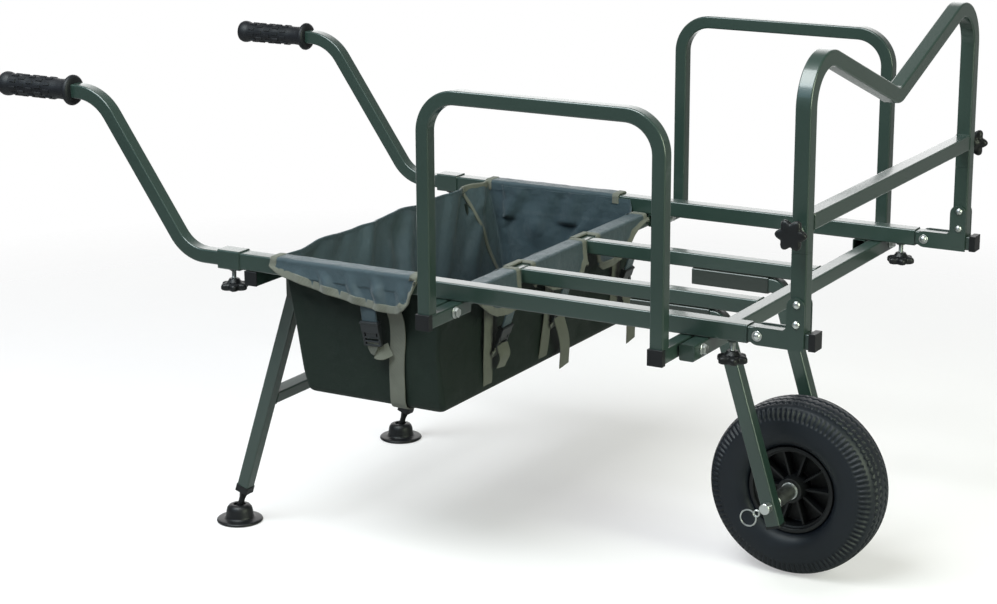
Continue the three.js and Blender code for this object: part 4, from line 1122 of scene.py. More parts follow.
def make_front_bolts(side_name, y, reach):
    pivot, bolts = Form(), Form()
    for face in (-1, 1):
        outward = Y_AXIS * face
        seat = spot(PIVOT_X, y + face * reach, RAIL_MID)
        head_seat = seat + outward * PIVOT_WASHER
        add_rod(pivot, seat, head_seat, DOME_RADIUS * PIVOT_WASHER_SHARE, 24, WASHER_EDGE)
        add_dome_head(pivot, head_seat, outward)
        for height in BRACKET_BOLT_HEIGHTS:
            add_dome_head(bolts, spot(UPRIGHT_X, y + face * reach, height), outward)
    ends = [spot(PIVOT_X, y - reach, RAIL_MID), spot(PIVOT_X, y + reach, RAIL_MID)]
    add_rod(pivot, *ends, BOLT_RADIUS, edge=BOLT_EDGE)
    node = side_name + "_fold_pivot"
    finish_piece(pivot, side_name + "_pivot_bolt", "front_carriage", zinc, [node])
    finish_piece(bolts, side_name + "_bracket_bolts", "front_uprights", zinc)


for side_name, sign in SIDES:
    make_front_side(side_name, sign)
print("front arms made")

# %% [markdown]
# The front loop is one bent tube: up, over a round shoulder, down into a V and up again, with a straight
# crossbar.

# %% Front loop
V_LEAN = math.radians(20.0)
V_PEAK = 0.813
V_PEAK_BEND = 0.058
V_BOTTOM_BEND = 0.032
CROSSBAR_Z = 0.598
FRONT_LOOP_WALL = 0.0012
LOOP_KNOB_Z = 0.59


def make_front_loop():
    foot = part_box("front_loop")[0].z
    crest = V_PEAK - UPRIGHT_SIZE / 2
    peak = crest + V_PEAK_BEND * (math.tan((math.pi / 2 + V_LEAN) / 2) - 1)
    bottom = peak - RAIL_Y * math.tan(V_LEAN)
    corners = [(spot(UPRIGHT_X, -RAIL_Y, foot), 0), (spot(UPRIGHT_X, -RAIL_Y, peak), V_PEAK_BEND)]
    corners += [(spot(UPRIGHT_X, 0, bottom), V_BOTTOM_BEND), (spot(UPRIGHT_X, RAIL_Y, peak), V_PEAK_BEND)]
    corners += [(spot(UPRIGHT_X, RAIL_Y, foot), 0)]
    form = Form()
    add_tube(form, bent_path(corners), X_AXIS, UPRIGHT_SIZE, FRONT_LOOP_WALL)
    reach = RAIL_Y - UPRIGHT_SIZE / 2 + FRONT_LOOP_WALL / 2
    ends = ends_across(UPRIGHT_X, reach, CROSSBAR_Z)
    add_straight(form, *ends, X_AXIS, UPRIGHT_SIZE, FRONT_LOOP_WALL)
    for end, sign in zip(ends, (-1, 1)):
        add_weld(form, end - Y_AXIS * sign * WELD_RADIUS, Y_AXIS, X_AXIS, UPRIGHT_SIZE)
        seat = spot(UPRIGHT_X, sign * (RAIL_Y + UPRIGHT_SIZE / 2), LOOP_KNOB_Z)
        inside, outside = seat - Y_AXIS * sign * FRONT_LOOP_WALL, seat + Y_AXIS * sign * BOSS_HEIGHT
        add_rod(form, inside, outside, BOSS_RADIUS, 6, BOSS_EDGE)
    finish_tube(form, "front_loop_tube", "front_loop_body", "front_loop")


make_front_loop()
print("front loop made")

# %% [markdown]
# Six clamp knobs, all from one mould: a lobed head with soft edges, a coned neck, and a zinc screw whose
# thread shows. The lobes are a cosine on the radius, and the thread is a zigzag profile.

# %% Clamp knobs
KNOB_RADIUS = 0.0215
KNOB_WAIST = 0.0155
KNOB_LOBES = 6
KNOB_THICKNESS = 0.011
KNOB_HUB = 0.0062
SCREW_RADIUS = 0.0038
SCREW_SHOWN = 0.012
SCREW_IN_HUB = 0.003
SCREW_LENGTH = 0.016
THREAD_STEP = 0.00125
THREAD_ROOT_SHARE = 0.84
LOBE_POWER = 0.8
LOBED_RINGS = range(2, 9)
KNOB_SHARES = [(0, 0), (0, 0.5), (0.01, 0.8), (0.1, 0.93), (0.25, 1), (0.62, 1), (0.82, 0.95), (0.94, 0.82)]
KNOB_SHARES += [(1, 0.62), (1.1, 0.5), (1.32, 0.4), (1.5, 0.36), (1.54, 0.32), (1.54, 0)]


def knob_lobes(angle, index):
    """Share of the full radius at an angle, on the rings that carry lobes."""
    if index not in LOBED_RINGS:
        return 1
    swell = (1 + math.cos(angle * KNOB_LOBES)) / 2
    return 1 - (1 - KNOB_WAIST / KNOB_RADIUS) * (1 - swell ** LOBE_POWER)


def make_knob(node, body, mouth, inward):
    """mouth is where the screw leaves its boss, inward points into the tube."""
    head = Form()
    origin = mouth - inward * (SCREW_SHOWN + KNOB_HUB + KNOB_THICKNESS)
    add_turned(head, scaled(KNOB_SHARES, KNOB_THICKNESS, KNOB_RADIUS), origin, inward, 96, knob_lobes)
    finish_piece(head, node + "_head", body, black_plastic, [node], sharp=50.0)
    screw = Form()
    steps = int(SCREW_LENGTH / THREAD_STEP)
    start = mouth - inward * (SCREW_SHOWN + SCREW_IN_HUB)
    root = SCREW_RADIUS * THREAD_ROOT_SHARE
    thread = [(0, 0)]
    for step in range(steps):
        thread += [(step * THREAD_STEP, root), ((step + 0.5) * THREAD_STEP, SCREW_RADIUS)]
    thread += [(steps * THREAD_STEP, root), (steps * THREAD_STEP, 0)]
    add_turned(screw, thread, start, inward, 20)
    finish_piece(screw, node + "_screw", body, zinc, sharp=70.0)


def make_knobs():
    for side_name, sign in SIDES:
        y = sign * RAIL_Y
        knob_x = -RAIL_LENGTH - COLLAR_OVERHANG + COLLAR_LENGTH / 2
        collar_mouth = spot(knob_x, y, RAIL_MID - COLLAR_SIZE / 2 - BOSS_HEIGHT)
        make_knob(side_name + "_handle_knob", side_name + "_handle_knob_body", collar_mouth, Z_AXIS)
        arm_mouth = spot(ARM_KNOB_X, y, RAIL_MID - RAIL_SIZE / 2 - BOSS_HEIGHT)
        make_knob(side_name + "_arm_knob", side_name + "_arm_knob_body", arm_mouth, Z_AXIS)
        loop_mouth = spot(UPRIGHT_X, sign * (RAIL_Y + UPRIGHT_SIZE / 2 + BOSS_HEIGHT), LOOP_KNOB_Z)
        make_knob(side_name + "_loop_knob", side_name + "_loop_knob_body", loop_mouth, -Y_AXIS * sign)


make_knobs()
print("knobs made")

# %% [markdown]
# The fork: short square holders under the inner bars, and bent legs that slide in them and carry the axle.

# %% Fork
HOLDER_FRONT = -0.150
HOLDER_LENGTH = 0.124
HOLDER_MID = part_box("near_fork_holder")[0].z + RAIL_SIZE / 2
FORK_LEAN = math.radians(17.1)
FORK_TAIL = 0.029
FORK_BEND_SHARE = 0.62
FORK_CAP_FIT = 0.0003
AXLE_X = -0.0536
AXLE_Z = 0.131
AXLE_RADIUS = 0.008


def fork_foot(y):
    drop = FORK_TAIL * math.cos(FORK_LEAN)
    return spot(AXLE_X + drop * math.tan(FORK_LEAN), y, AXLE_Z - drop)


def make_fork():
    for side_name, sign in SIDES:
        y = sign * INNER_BAR_Y
        rear = HOLDER_FRONT - HOLDER_LENGTH
        holder = Form()
        add_straight(holder, *ends_along(rear, HOLDER_FRONT, y, HOLDER_MID), Y_AXIS, RAIL_SIZE, RAIL_WALL)
        node = side_name + "_fork_holder"
        # The holders take the darker copy of the coat, as painted shade under the inner bars.
        finish_piece(holder, side_name + "_holder_tube", "frame", shaded_coat, [node])
        top_x = AXLE_X - (HOLDER_MID - AXLE_Z) * math.tan(FORK_LEAN)
        bend = SLIDE_SIZE * FORK_BEND_SHARE
        corners = [(spot(rear + SLIDE_SIZE, y, HOLDER_MID), 0), (spot(top_x, y, HOLDER_MID), bend)]
        corners += [(fork_foot(y), 0)]
        leg = Form()
        add_tube(leg, bent_path(corners), Y_AXIS, SLIDE_SIZE, SLIDE_WALL)
        finish_tube(leg, side_name + "_fork_tube", "fork", side_name + "_fork_leg")
        make_fork_cap(side_name, y)


def make_fork_cap(side_name, y):
    down = Vector((math.sin(FORK_LEAN), 0, -math.cos(FORK_LEAN)))
    start = fork_foot(y) + down * FORK_CAP_FIT
    cap = Form()
    add_straight(cap, start, start + down * CAP_THICKNESS, Y_AXIS, SLIDE_SIZE + 2 * CAP_LIP)
    node = side_name + "_fork_cap"
    finish_piece(cap, node + "_moulding", "fork", black_plastic, [node])


make_fork()
print("fork made")

# %% [markdown]
# The axle is a zinc pin with a head on the far side. A spring clip through its near end keeps it in:
# a straight pin, a coil of two turns and a pull ring, all of one wire.

# %% Axle and clip
AXLE_HEAD = 0.012
AXLE_HEAD_THICKNESS = 0.004
AXLE_EDGE = 0.0008
SPACER_FIT = 0.0003
SPACER_EDGE = 0.0004
CLIP_WIRE = 0.0011
CLIP_EDGE = 0.0003
CLIP_RING = 0.012
CLIP_COIL = 0.0045
COIL_TURNS = 2
COIL_WIRE_SHARE = 0.9
CLIP_TILT = math.radians(35.0)
CLIP_SETOUT = 0.006
RING_STEPS = 40


def ring_points(centre, radius, first, second, turns, rise):
    """Points round a circle, or on a helix that moves by rise in a turn."""
    points = []
    for step in range(RING_STEPS * turns):
        angle = 2 * math.pi * step / RING_STEPS
        around = first * math.cos(angle) + second * math.sin(angle)
        points.append(centre + around * radius + rise * (step / RING_STEPS))
    return points


def make_axle():
    low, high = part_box("axle")
    centre = spot(AXLE_X, 0, AXLE_Z)
    near, far = Vector((centre.x, low.y, centre.z)), Vector((centre.x, high.y, centre.z))
    form = Form()
    add_rod(form, near, far, AXLE_RADIUS, 32, AXLE_EDGE)
    add_rod(form, far - Y_AXIS * AXLE_HEAD_THICKNESS, far, AXLE_HEAD, 32, AXLE_EDGE)
    finish_piece(form, "axle_pin", "fork", zinc, ["axle"])
    for side_name, _ in SIDES:
        node = side_name + "_spacer"
        low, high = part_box(node)
        bore, outer, length = AXLE_RADIUS + SPACER_FIT, (high.z - low.z) / 2, high.y - low.y
        profile = [(0, bore), (0, outer - SPACER_EDGE), (SPACER_EDGE, outer)]
        profile += [(length - SPACER_EDGE, outer), (length, outer - SPACER_EDGE), (length, bore)]
        spacer = Form()
        add_turned(spacer, profile, Vector((centre.x, low.y, centre.z)), Y_AXIS, 32, closed=True)
        finish_piece(spacer, node + "_sleeve", "fork", zinc, [node])


def make_clip():
    along = Vector((math.cos(CLIP_TILT), 0, math.sin(CLIP_TILT)))
    across = Vector((-math.sin(CLIP_TILT), 0, math.cos(CLIP_TILT)))
    leg_face = INNER_BAR_Y + SLIDE_SIZE / 2
    middle = spot(AXLE_X, -(leg_face + CLIP_SETOUT), AXLE_Z)
    reach = AXLE_RADIUS + 3 * CLIP_WIRE
    coil = middle - along * (reach + CLIP_COIL)
    ring = coil - along * (CLIP_RING + CLIP_COIL)
    form = Form()
    add_rod(form, coil + along * CLIP_COIL, middle + along * reach, CLIP_WIRE, 12, CLIP_EDGE)
    turns = ring_points(coil, CLIP_COIL, along, across, COIL_TURNS, Y_AXIS * -2 * CLIP_WIRE)
    add_wire(form, turns, CLIP_WIRE * COIL_WIRE_SHARE)
    add_wire(form, ring_points(ring, CLIP_RING, along, across, 1, Vector()), CLIP_WIRE, closed=True)
    finish_piece(form, "clip_wire", "clip", zinc, ["axle_clip"])


make_axle()
make_clip()
print("axle and clip made")

# %% [markdown]
# The tyre is the barrow's most worked surface. Its section is a smooth curve from bead to bead, and the tread
# is cut in by a rule: four zigzag grooves run round the crown, and fine radial ribs mark each shoulder.
# A dense grid carries it, so that the grooves are real geometry and catch real shadows.

# %% Tyre
TYRE_RADIUS = 0.131
TYRE_WIDTH = 0.086
RIM_RADIUS = 0.061
RIM_WIDTH = 0.062
RIM_LIP = 0.005
LIP_FIT = 0.0006
BEAD_FIT = 0.0005
SIDE_SHARES = [(0.8, 0.05), (0.93, 0.16), (0.99, 0.3), (1.0, 0.44), (0.985, 0.6), (0.94, 0.74), (0.85, 0.86)]
SIDE_SHARES += [(0.7, 0.94), (0.5, 0.982), (0.25, 0.997), (0, 1.0)]
TYRE_STEPS = 760
SECTION_STEPS = 96
TREAD_GROOVE = 0.0024
GROOVE_WIDTH = 0.0034
ZIGZAG_COUNT = 76
ZIGZAG_SWING = 0.0021
GROOVE_PLACES = (-0.0225, -0.0085, 0.0085, 0.0225)
GROOVE_EDGE_SHARES = (0.3, 0.62)
TREAD_SHARES = (0.93, 0.955)
RIB_COUNT = 95
RIB_HEIGHT = 0.0019
RIB_EDGE_SHARES = (-0.35, 0.35)
RIB_START_SHARES = (0.83, 0.845)
RIB_END_SHARES = (0.935, 0.95)


def tyre_section():
    """Points (y, radius) from the near bead over the crown to the far bead, evenly spaced."""
    lip_top = RIM_RADIUS + RIM_LIP + LIP_FIT
    half = TYRE_WIDTH / 2
    bead = RIM_WIDTH / 2 - RIM_LIP
    rise = TYRE_RADIUS - lip_top
    curve = [(-bead, RIM_RADIUS + BEAD_FIT), (-bead, lip_top)]
    curve += [(-half * side, lip_top + rise * up) for side, up in SIDE_SHARES]
    curve += [(-y, r) for y, r in curve[-2::-1]]
    points = corner_cut(corner_cut(np.array(curve)))
    lengths = np.concatenate([[0], np.cumsum(np.hypot(*np.diff(points, axis=0).T))])
    even = np.linspace(0, lengths[-1], SECTION_STEPS)
    return np.column_stack([np.interp(even, lengths, points[:, 0]), np.interp(even, lengths, points[:, 1])])


def corner_cut(points):
    """One round of Chaikin's corner cutting, which keeps the ends."""
    first, second = points[:-1], points[1:]
    cut = np.empty((2 * len(first), 2))
    cut[0::2] = 0.75 * first + 0.25 * second
    cut[1::2] = 0.25 * first + 0.75 * second
    return np.vstack([points[:1], cut, points[-1:]])


def smooth_step(value, low, high):
    part = np.clip((value - low) / (high - low), 0, 1)
    return part * part * (3 - 2 * part)


def share_step(value, size, shares):
    """A soft step from one share of a size to another."""
    return smooth_step(value, size * shares[0], size * shares[1])


def tread_depth(y, radius, angle):
    """How far the surface is pushed in at a place, in metres."""
    swing = np.abs(((angle * ZIGZAG_COUNT / (2 * np.pi)) % 1) * 2 - 1) * 2 - 1
    depth = np.zeros_like(y)
    for place in GROOVE_PLACES:
        off = np.abs(y - place - ZIGZAG_SWING * swing)
        depth = np.maximum(depth, TREAD_GROOVE * (1 - share_step(off, GROOVE_WIDTH, GROOVE_EDGE_SHARES)))
    depth = depth * share_step(radius, TYRE_RADIUS, TREAD_SHARES)
    shoulder = share_step(radius, TYRE_RADIUS, RIB_START_SHARES)
    shoulder = shoulder * (1 - share_step(radius, TYRE_RADIUS, RIB_END_SHARES))
    return depth + shoulder * RIB_HEIGHT * smooth_step(np.cos(angle * RIB_COUNT), *RIB_EDGE_SHARES)


def make_tyre():
    section = tyre_section()
    slope = np.gradient(section, axis=0)
    slope /= np.hypot(*slope.T)[:, None]
    inward = np.column_stack([slope[:, 1], -slope[:, 0]])
    angles = np.linspace(0, 2 * np.pi, TYRE_STEPS, endpoint=False)
    y, angle = np.meshgrid(section[:, 0], angles)
    radius = np.meshgrid(section[:, 1], angles)[0]
    depth = tread_depth(y, radius, angle)
    y = y + inward[None, :, 0] * depth
    radius = radius + inward[None, :, 1] * depth
    x, z = radius * np.cos(angle), radius * np.sin(angle)
    centre = spot(AXLE_X, 0, AXLE_Z)
    points = np.stack([centre.x + x, centre.y + y, centre.z + z], axis=-1)
    faces = grid_faces(TYRE_STEPS, SECTION_STEPS, closed_rows=True, closed_columns=False)
    form = Form().add(points.reshape(-1, 3).tolist(), faces)
    close_bead(form)
    return finish_piece(form, "tyre_carcass", "wheel", tyre_rubber, ["tyre"], sharp=60.0)


def close_bead(form):
    """Joins the two beads by a hidden floor, so that the tyre is a closed form."""
    last = SECTION_STEPS - 1
    for row in range(TYRE_STEPS):
        lower, upper = row * SECTION_STEPS, (row + 1) % TYRE_STEPS * SECTION_STEPS
        form.faces.append([lower, upper, upper + last, lower + last])
        form.paint.append(0)


print("tyre faces", len(make_tyre().data.polygons))

# %% [markdown]
# The rim is one moulding: a hub and an outer ring joined by a thin disc, and stiffened by radial webs.
# The ring and hub are turned. The webs repeat round the axle, so Geometry Nodes place them.

# %% Rim
RIM_WALL = 0.004
RIM_DISC = 0.004
RIM_WEBS = 10
WEB_THICKNESS = 0.003
HUB_RADIUS = 0.019
HUB_WIDTH = 0.072
BUSH_RADIUS = 0.0132
BUSH_DEPTH = 0.004
BUSH_FIT = 0.0002
BUSH_INSET = 0.0003
BUSH_EDGE = 0.0005
BORE_FIT = 0.0004
TYRE_FIT = 0.0004
RIM_EDGE = 0.001
WEB_INSET = 0.011


def rim_profile():
    """Half of the section from bore to bead seat, and its mirror image. Roundings are counted in edges."""
    edge = RIM_EDGE
    inner, lip = RIM_RADIUS - RIM_WALL, RIM_RADIUS + RIM_LIP - TYRE_FIT
    half, bead = RIM_WIDTH / 2, RIM_WIDTH / 2 - RIM_LIP - TYRE_FIT
    disc, hub = RIM_DISC / 2, HUB_WIDTH / 2
    side = [(hub - BUSH_DEPTH, AXLE_RADIUS + BORE_FIT), (hub - BUSH_DEPTH, BUSH_RADIUS + BUSH_FIT)]
    side += [(hub, BUSH_RADIUS + BUSH_FIT), (hub, HUB_RADIUS - 1.2 * edge), (hub - 1.2 * edge, HUB_RADIUS)]
    side += [(disc + 2 * edge, HUB_RADIUS + edge), (disc, HUB_RADIUS + 3 * edge), (disc, inner - 3 * edge)]
    side += [(disc + 2 * edge, inner - edge), (half - 6 * edge, inner - 0.5 * edge)]
    side += [(half - 5 * edge, inner + 1.5 * edge), (half - edge, inner + 2.2 * edge)]
    side += [(half, inner + 3.4 * edge), (half, lip - edge), (half - edge, lip)]
    side += [(bead + 0.6 * edge, lip), (bead, lip - 0.6 * edge), (bead, RIM_RADIUS)]
    return [(-y, r) for y, r in side] + side[::-1]


def make_rim():
    centre = spot(AXLE_X, 0, AXLE_Z)
    form = Form()
    add_turned(form, rim_profile(), centre, Y_AXIS, 120, closed=True)
    finish_piece(form, "rim_moulding", "wheel", rim_plastic, ["rim"], sharp=50.0)
    webs = rim_webs()
    place_mesh(webs, centre, Y_AXIS)
    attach(webs, "wheel")
    bore, front = AXLE_RADIUS + BORE_FIT, BUSH_DEPTH - BUSH_INSET
    ring = [(0, bore), (0, BUSH_RADIUS), (front - BUSH_EDGE, BUSH_RADIUS)]
    ring += [(front, BUSH_RADIUS - BUSH_EDGE), (front, bore)]
    bush = Form()
    for face in (-1, 1):
        seat = centre + Y_AXIS * face * (HUB_WIDTH / 2 - BUSH_DEPTH + BUSH_FIT)
        add_turned(bush, ring, seat, Y_AXIS * face, 32, closed=True)
    finish_piece(bush, "hub_bush", "wheel", zinc)


def rim_webs():
    """Ten webs about Z: each a thin plate from hub to ring, on both sides of the disc."""
    inner, outer = HUB_RADIUS - RIM_EDGE, RIM_RADIUS - RIM_WALL + RIM_EDGE
    depth = RIM_WIDTH - 2 * WEB_INSET
    sizes = {"Webs": ("NodeSocketInt", RIM_WEBS), "Reach": ("NodeSocketFloat", (inner + outer) / 2)}
    tree = Tree("web_tree", sizes)
    size = tree.node("ShaderNodeCombineXYZ", {}, {"X": outer - inner, "Y": WEB_THICKNESS, "Z": depth})
    plate = tree.node("GeometryNodeMeshCube", {}, {"Size": size.outputs[0]})
    ring = ring_of(tree, tree.size("Webs"), tree.size("Reach"), plate.outputs[0], 2 * math.pi)
    return tree.run("rim_webs", ring, rim_plastic)


make_rim()
print("rim made")

# %% [markdown]
# The rear legs lean back on a stop and end in ball-jointed feet: a round pad with a dome round the ball.

# %% Rear legs
LEG_LEAN = math.radians(18.1)
LEG_PIVOT_X = -0.760
LEG_PIVOT_Z = 0.4207
LEG_TOP = 0.426
LEG_FOOT = 0.058
LEG_BAR = 0.210
SLEEVE_DROP = 0.008
SLEEVE_RISE = 0.003
SLEEVE_LIP = 0.001
SLEEVE_CORNER = 0.003
BALL_HEIGHT = 0.020
BALL_RADIUS = 0.007
BALL_STEPS = 12
NECK_START = 0.005
NECK_LENGTH = 0.020
NECK_RADIUS = 0.005
NECK_SHARES = [(0, 0), (0, 1.1), (0.2, 0.96), (0.7, 0.92), (1.1, 1.24), (1.3, 1.7), (1.4, 1.7), (1.4, 0)]
FOOT_RADIUS = 0.036
FOOT_HEIGHT = 0.025
FOOT_SHARES = [(0, 0), (0, 0.95), (0.032, 0.985), (0.08, 1), (0.136, 0.99), (0.176, 0.955), (0.2, 0.9)]
FOOT_SHARES += [(0.208, 0.72), (0.232, 0.655), (0.288, 0.61), (0.4, 0.592), (0.68, 0.57), (0.88, 0.535)]
FOOT_SHARES += [(1.02, 0.46), (1.08, 0.37), (1.08, 0.27), (0.96, 0.25), (0.96, 0)]


def leg_point(y, height):
    return spot(LEG_PIVOT_X - (LEG_PIVOT_Z - height) * math.tan(LEG_LEAN), y, height)


def make_legs():
    bar = Form()
    reach = LEG_Y - LEG_SIZE / 2
    ends = [leg_point(-reach, LEG_BAR), leg_point(reach, LEG_BAR)]
    square = Vector((math.cos(LEG_LEAN), 0, -math.sin(LEG_LEAN)))
    add_straight(bar, *ends, square, LEG_SIZE, RAIL_WALL)
    for end in ends:
        add_weld(bar, end, Y_AXIS, square, LEG_SIZE)
    finish_tube(bar, "leg_bar_tube", "rear_legs", "leg_bar")
    for side_name, sign in SIDES:
        make_leg(side_name, sign * LEG_Y)


def make_leg(side_name, y):
    up = Vector((math.sin(LEG_LEAN), 0, math.cos(LEG_LEAN)))
    foot, ball = leg_point(y, LEG_FOOT), leg_point(y, BALL_HEIGHT)
    leg = Form()
    add_straight(leg, foot, leg_point(y, LEG_TOP), Y_AXIS, LEG_SIZE, RAIL_WALL)
    finish_tube(leg, side_name + "_leg_tube", "rear_legs", side_name + "_leg")
    joint = Form()
    ends = [foot - up * SLEEVE_DROP, foot + up * SLEEVE_RISE]
    add_straight(joint, *ends, Y_AXIS, LEG_SIZE + 2 * SLEEVE_LIP, 0.0, SLEEVE_CORNER)
    add_turned(joint, scaled(NECK_SHARES, NECK_LENGTH, NECK_RADIUS), ball + up * NECK_START, up, 24)
    add_turned(joint, ball_profile(BALL_RADIUS), ball, up, 24)
    finish_piece(joint, side_name + "_leg_end", "rear_legs", black_plastic)
    make_leg_bolt(side_name)
    make_foot(side_name, ball)


def make_leg_bolt(side_name):
    node = side_name + "_leg_pivot"
    low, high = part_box(node)
    place = spot(LEG_PIVOT_X, 0, LEG_PIVOT_Z)
    bolt = Form()
    for face, edge in ((-1, low.y), (1, high.y)):
        add_hex_head(bolt, place + Y_AXIS * (edge - face * HEAD_HEIGHT), Y_AXIS * face, washer=False)
    add_rod(bolt, place + Y_AXIS * low.y, place + Y_AXIS * high.y, BOLT_RADIUS, 16, BOLT_EDGE)
    finish_piece(bolt, side_name + "_leg_bolt", "frame", zinc, [node])


def ball_profile(radius):
    """A ball, with poles of no radius at all, so that it closes."""
    turns = [math.pi * k / BALL_STEPS for k in range(1, BALL_STEPS)]
    rings = [(-radius * math.cos(turn), radius * math.sin(turn)) for turn in turns]
    return [(-radius, 0)] + rings + [(radius, 0)]


def make_foot(side_name, ball):
    foot = Form()
    add_turned(foot, scaled(FOOT_SHARES, FOOT_HEIGHT, FOOT_RADIUS), Vector((ball.x, ball.y, 0)), Z_AXIS, 64)
    node = side_name + "_foot"
    finish_piece(foot, node + "_pad", node + "_body", black_plastic, [node], sharp=50.0)


make_legs()
print("legs made")

# %% [markdown]
# The bag is sewn nylon, so it is made of sheets: a shell that hangs inside the rails, flaps folded over the
# rails, and three wraps round the middle member. Each sheet is a grid of points. Folds push the grid along
# its normals, and then it gets the cloth's thickness on both sides.

# %% Sheets of cloth
CLOTH = 0.0014
BINDING_WIDTH = 0.012
BINDING_THICKNESS = 0.0034
BINDING_OVERLAP_SHARE = 0.42
RIBBON_ROUND_SHARE = 0.45
TINY = 1e-12


def as_array(points):
    return np.array([tuple(point) for point in points], dtype=float)


def grid_normals(grid, wrap=False):
    along = np.roll(grid, -1, 1) - np.roll(grid, 1, 1) if wrap else np.gradient(grid, axis=1)
    normal = np.cross(along, np.gradient(grid, axis=0))
    return normal / np.maximum(np.linalg.norm(normal, axis=2, keepdims=True), TINY)


def grid_lengths(grid):
    """Distances along columns and rows, which serve as UV and to place folds."""
    across = np.linalg.norm(np.diff(grid, axis=1), axis=2)
    down = np.linalg.norm(np.diff(grid, axis=0), axis=2)
    u = np.concatenate([np.zeros((grid.shape[0], 1)), np.cumsum(across, axis=1)], axis=1)
    v = np.concatenate([np.zeros((1, grid.shape[1])), np.cumsum(down, axis=0)], axis=0)
    return u, v


def folds(u, v, places, width, height):
    """Soft ridges. places holds (along, down, slant, length, share of height)."""
    total = np.zeros_like(u)
    for along, down, slant, length, share in places:
        off = (u - along - slant * (v - down)) / width
        reach = (v - down) / length
        total += share * height * np.exp(-off * off - reach * reach)
    return total


def random_folds(seed, count, spread, depth, slant, length):
    """Places for folds, the same on every run."""
    dice = random.Random(seed)
    places = []
    for _ in range(count):
        place = (dice.uniform(0, spread), dice.uniform(0, depth), dice.uniform(-slant, slant))
        places.append((*place, dice.uniform(0.5, 1.0) * length, dice.uniform(-1, 1)))
    return places


def scattered(u, v, seed, spread, depth, recipe):
    """Folds at places drawn by lot. A recipe holds their count, slant, length, width and height."""
    count, slant, length, width, height = recipe
    return folds(u, v, random_folds(seed, count, spread, depth, slant, length), width, height)


def add_sheet(form, grid, wrap=False, outside=0, inside=0):
    """Both faces of a sheet and its edges. outside and inside choose the material."""
    rows, columns = grid.shape[:2]
    normal = grid_normals(grid, wrap)
    u, v = grid_lengths(grid)
    uv = np.stack([u, v], axis=-1).reshape(-1, 2)
    count = rows * columns
    front = grid_faces(rows, columns, closed_columns=wrap)
    form.add((grid + normal * CLOTH / 2).reshape(-1, 3), front, uv, outside)
    form.add((grid - normal * CLOTH / 2).reshape(-1, 3), [face[::-1] for face in front], uv, inside)
    start = len(form.vertices) - 2 * count
    edges = [list(range(columns)), [(rows - 1) * columns + k for k in range(columns)][::-1]]
    if wrap:
        edges = [edge + edge[:1] for edge in edges]
    else:
        edges += [[k * columns for k in range(rows)][::-1], [k * columns + columns - 1 for k in range(rows)]]
    for edge in edges:
        for first, second in zip(edge, edge[1:]):
            form.faces.append([start + second, start + first, start + count + first, start + count + second])
            form.paint.append(outside)


def add_ribbon(form, points, sides, width, thickness, paint=0):
    """Webbing along points. sides says which way its width lies."""
    points, sides = as_array(points), as_array(sides)
    tangent = np.gradient(points, axis=0)
    tangent /= np.linalg.norm(tangent, axis=1, keepdims=True)
    sides = sides - tangent * np.sum(sides * tangent, axis=1, keepdims=True)
    sides /= np.linalg.norm(sides, axis=1, keepdims=True)
    normal = np.cross(sides, tangent)
    square = rounded_square(thickness, thickness * RIBBON_ROUND_SHARE, 2)
    outline = np.array([(x + math.copysign(width / 2 - thickness / 2, x), y) for x, y in square])
    rings = points[:, None] + sides[:, None] * outline[:, :1] + normal[:, None] * outline[:, 1:]
    lengths = np.concatenate([[0], np.cumsum(np.linalg.norm(np.diff(points, axis=0), axis=1))])
    uv = np.stack(np.broadcast_arrays(lengths[:, None], outline[None, :, 0]), axis=-1).reshape(-1, 2)
    count = len(outline)
    total = len(points) * count
    caps = [list(range(count))[::-1], list(range(total - count, total))]
    faces = [face[::-1] for face in grid_faces(len(points), count) + caps]
    return form.add(rings.reshape(-1, 3), faces, uv, paint)


def edge_ribbon(form, grid, cells):
    """Binding along a list of (row, column) cells at a sheet's edge, folded over that edge."""
    normals = grid_normals(grid)
    points = np.array([grid[cell] for cell in cells])
    normal = np.array([normals[cell] for cell in cells])
    tangent = np.gradient(points, axis=0)
    inward = np.cross(normal, tangent)
    inward /= np.linalg.norm(inward, axis=1, keepdims=True)
    rows, columns = grid.shape[:2]
    for index, (row, column) in enumerate(cells):
        inner_row = min(max(row % rows, 2), rows - 3)
        inner_column = min(max(column % columns, 2), columns - 3)
        towards = grid[inner_row, inner_column] - points[index]
        if np.dot(towards, inward[index]) < 0:
            inward[index] *= -1
    points = points + inward * BINDING_WIDTH * BINDING_OVERLAP_SHARE
    add_ribbon(form, points, inward, BINDING_WIDTH, BINDING_THICKNESS)


def outward_normals(grid, axis, sign):
    """Normals that point outwards at the hem, which is where a given axis has a given sign."""
    normal = grid_normals(grid)
    return normal if normal[-1, grid.shape[1] // 2, axis] * sign > 0 else -normal


def over_tube(inner, outer, start, top, bend, hem, flare, rows):
    """A sheet's section as (distance, height): up, over a tube, and down to a hem that flares out."""
    up_rows, arc_rows, top_rows, drop_rows = rows
    shoulder = top - bend
    points = [(inner, start + (shoulder - start) * k / up_rows) for k in range(up_rows)]
    turns = [k / arc_rows * math.pi / 2 for k in range(arc_rows)]
    points += [(inner + bend * (1 - math.cos(turn)), top - bend * (1 - math.sin(turn))) for turn in turns]
    span = outer - inner - 2 * bend
    points += [(inner + bend + span * k / top_rows, top) for k in range(top_rows)]
    points += [(outer - bend * (1 - math.sin(turn)), top - bend * (1 - math.cos(turn))) for turn in turns]
    shares = [k / drop_rows for k in range(drop_rows + 1)]
    return points + [(outer + flare * share * share, shoulder + (hem - shoulder) * share) for share in shares]


